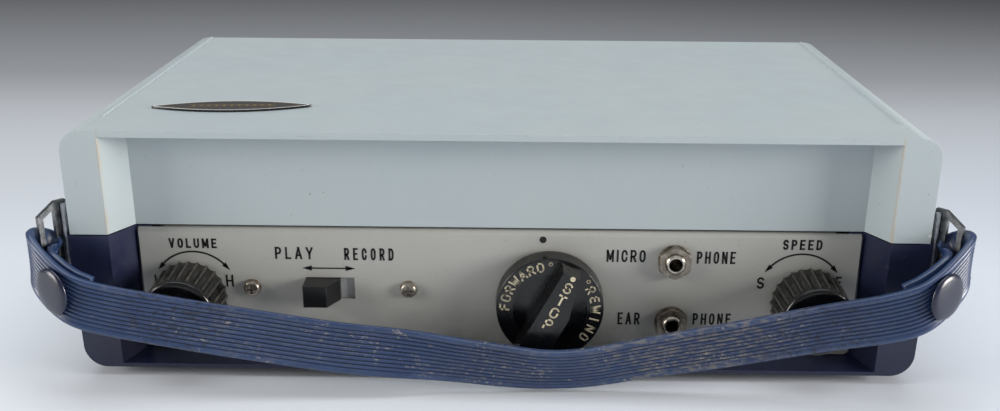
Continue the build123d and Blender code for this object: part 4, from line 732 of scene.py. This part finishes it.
# The faces in the grooves take the darker material, painted shade in the grooves.
strap.data.materials.append(GROOVE_SHADE)
for index in range(len(strap_path) - 1):
    for step in range(RIBS * RIB_STEPS):
        if abs(math.sin(math.pi * (step + 0.5) / RIB_STEPS)) < GROOVE_WAVE:
            strap.data.polygons[index * ring_size + step].material_index = 1
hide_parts("carrying_strap")

# ---------------------------------------------------------------- domed snap caps
def turned(name, profile, centre, axis, material, body, steps=48):
    """Turned piece from (along, radius) pairs, about an axis through centre."""
    axis = Vector(axis).normalized()
    across = axis.orthogonal().normalized()
    second = axis.cross(across)
    points = []
    for along, radius in profile:
        for step in range(steps):
            angle = 2 * math.pi * step / steps
            rim = across * math.cos(angle) + second * math.sin(angle)
            points.append(Vector(centre) + axis * along + rim * radius)
    return make_piece(name, points, tube_faces(len(profile), steps), material, body, smooth=True)


SNAP_OUT = 36.0              # the caps face this many degrees outward of the front
SNAP_X = 109.8
SNAP_Y = FRONT - 11.1
CAP_PROFILE = [(0.0, 5.2), (0.05, 5.9), (0.35, 6.05), (0.7, 5.95), (1.0, 5.55), (1.25, 4.8),
               (1.45, 3.6), (1.56, 2.2), (1.6, 0.6)]
for side, name in ((-1, "snap_cap_left"), (1, "snap_cap_right")):
    out = (side * math.sin(math.radians(SNAP_OUT)), -math.cos(math.radians(SNAP_OUT)), 0)
    on_strap = Vector((side * SNAP_X, SNAP_Y, height_at(side * SNAP_X)))
    centre = on_strap + Vector(out) * (STRAP_THICK / 2 + 0.1)
    turned(name, CAP_PROFILE, centre, out, CAP, "base")
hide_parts("snap_caps")

# ---------------------------------------------------------------- fluted knobs
def fluted_knob(control, centre, material):
    """Tapered knob whose scalloped flutes keep their depth to near the nose."""
    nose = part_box(f"{control}_knob")[0][1] / MM
    rings = [
        (PANEL_FACE - KNOB_FOOT, 9.7, 0.6), (PANEL_FACE - 1.1, 9.85, 0.6),
        (PANEL_FACE - FLUTE_END, 9.3, 0.6), (PANEL_FACE - FLUTE_END - 0.35, 9.3, 0.25),
        (nose + 0.75, 9.2, 0.0), (nose + 0.3, 9.0, 0.0), (nose, 8.5, 0.0), (nose, 7.75, 0.0),
        (nose + 0.35, 7.55, 0.0), (nose + 0.4, 0.4, 0.0),
    ]                            # (place, radius at the ridges, depth of the flutes)
    steps = FLUTES * FLUTE_STEPS
    points = []
    for ahead, radius, depth in rings:
        for step in range(steps):
            angle = 2 * math.pi * step / steps
            reach = radius - depth * abs(math.sin(FLUTES * angle / 2)) ** 0.7
            points.append((centre[0] + reach * math.cos(angle), ahead, centre[1] + reach * math.sin(angle)))
    faces = tube_faces(len(rings), steps)
    knob = make_piece(f"{control}_knob_fluted", points, faces, material, f"{control}_control", smooth=True)
    knob.data.set_sharp_from_angle(angle=math.radians(40))
    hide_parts(f"{control}_knob")


fluted_knob("volume", (-KNOB_X, KNOB_Z), VOLUME_BLACK)
fluted_knob("speed", (KNOB_X, KNOB_Z), SPEED_BLACK)

# ---------------------------------------------------------------- small visible extras
slot_plate = Print()
slot_plate.polygon([(-41.9, 19.5), (-38.1, 19.5), (-38.1, 25.5), (-41.9, 25.5)],
                   facing(PANEL_FACE + SLIDE_PLATE_DEEP))
slot_plate.piece("slot_plate", SLOT_GREY, "record_slider")

# ---------------------------------------------------------------- floor, light and camera
floor_mesh = bpy.data.meshes.new("floor")
floor_mesh.from_pydata([(-4, -2, 0), (4, -2, 0), (4, 5, 0), (-4, 5, 0)], [], [(0, 1, 2, 3)])
floor = bpy.data.objects.new("floor", floor_mesh)
bpy.context.scene.collection.objects.link(floor)
floor_mesh.materials.append(floor_paper())


def softbox(name, place, target, size, power, color=(1, 1, 1)):
    """Rectangular area light aimed at a target."""
    data = bpy.data.lights.new(name, "AREA")
    data.shape = "RECTANGLE"
    data.size, data.size_y = size
    data.energy = power
    data.color = color
    light = bpy.data.objects.new(name, data)
    light.location = place
    light.rotation_euler = (Vector(target) - Vector(place)).to_track_quat("-Z", "Y").to_euler()
    bpy.context.scene.collection.objects.link(light)


softbox("overhead", (0.0, 0.1, 0.95), (0, 0, 0), (1.1, 0.8), 7.5, (0.95, 0.98, 1.0))
softbox("left_front", (-1.0, -0.38, 0.32), (0, 0, 0.03), (0.5, 0.5), 8.0, (1.0, 0.96, 0.92))
softbox("right_front", (1.05, -0.36, 0.26), (0, 0, 0.03), (0.5, 0.4), 15.5, (1.0, 0.96, 0.92))

world = bpy.data.worlds.new("studio")
world.use_nodes = True
world.node_tree.nodes["Background"].inputs["Color"].default_value = (0.97, 0.98, 1.0, 1.0)
world.node_tree.nodes["Background"].inputs["Strength"].default_value = 0.265
bpy.context.scene.world = world
bpy.context.scene.view_settings.view_transform = "Standard"

CAMERA_PLACE = (0.00459, -0.3472, 0.13954)
YAW = math.radians(-0.817)
PITCH = math.radians(21.459)
ROLL = math.radians(0.354)
forward = Vector((math.sin(YAW) * math.cos(PITCH), math.cos(YAW) * math.cos(PITCH), -math.sin(PITCH)))
level = Vector((math.cos(YAW), -math.sin(YAW), 0))
upright = level.cross(forward)
right = math.cos(ROLL) * level + math.sin(ROLL) * upright
top = -math.sin(ROLL) * level + math.cos(ROLL) * upright
camera_data = bpy.data.cameras.new("camera")
camera_data.sensor_width = 36.0
camera_data.lens = 42.54
camera_data.shift_y = 0.0745
camera_data.clip_start = 0.01
camera = bpy.data.objects.new("camera", camera_data)
camera.matrix_world = Matrix.Translation(CAMERA_PLACE) @ Matrix((right, top, -forward)).transposed().to_4x4()
bpy.context.scene.collection.objects.link(camera)
bpy.context.scene.camera = camera
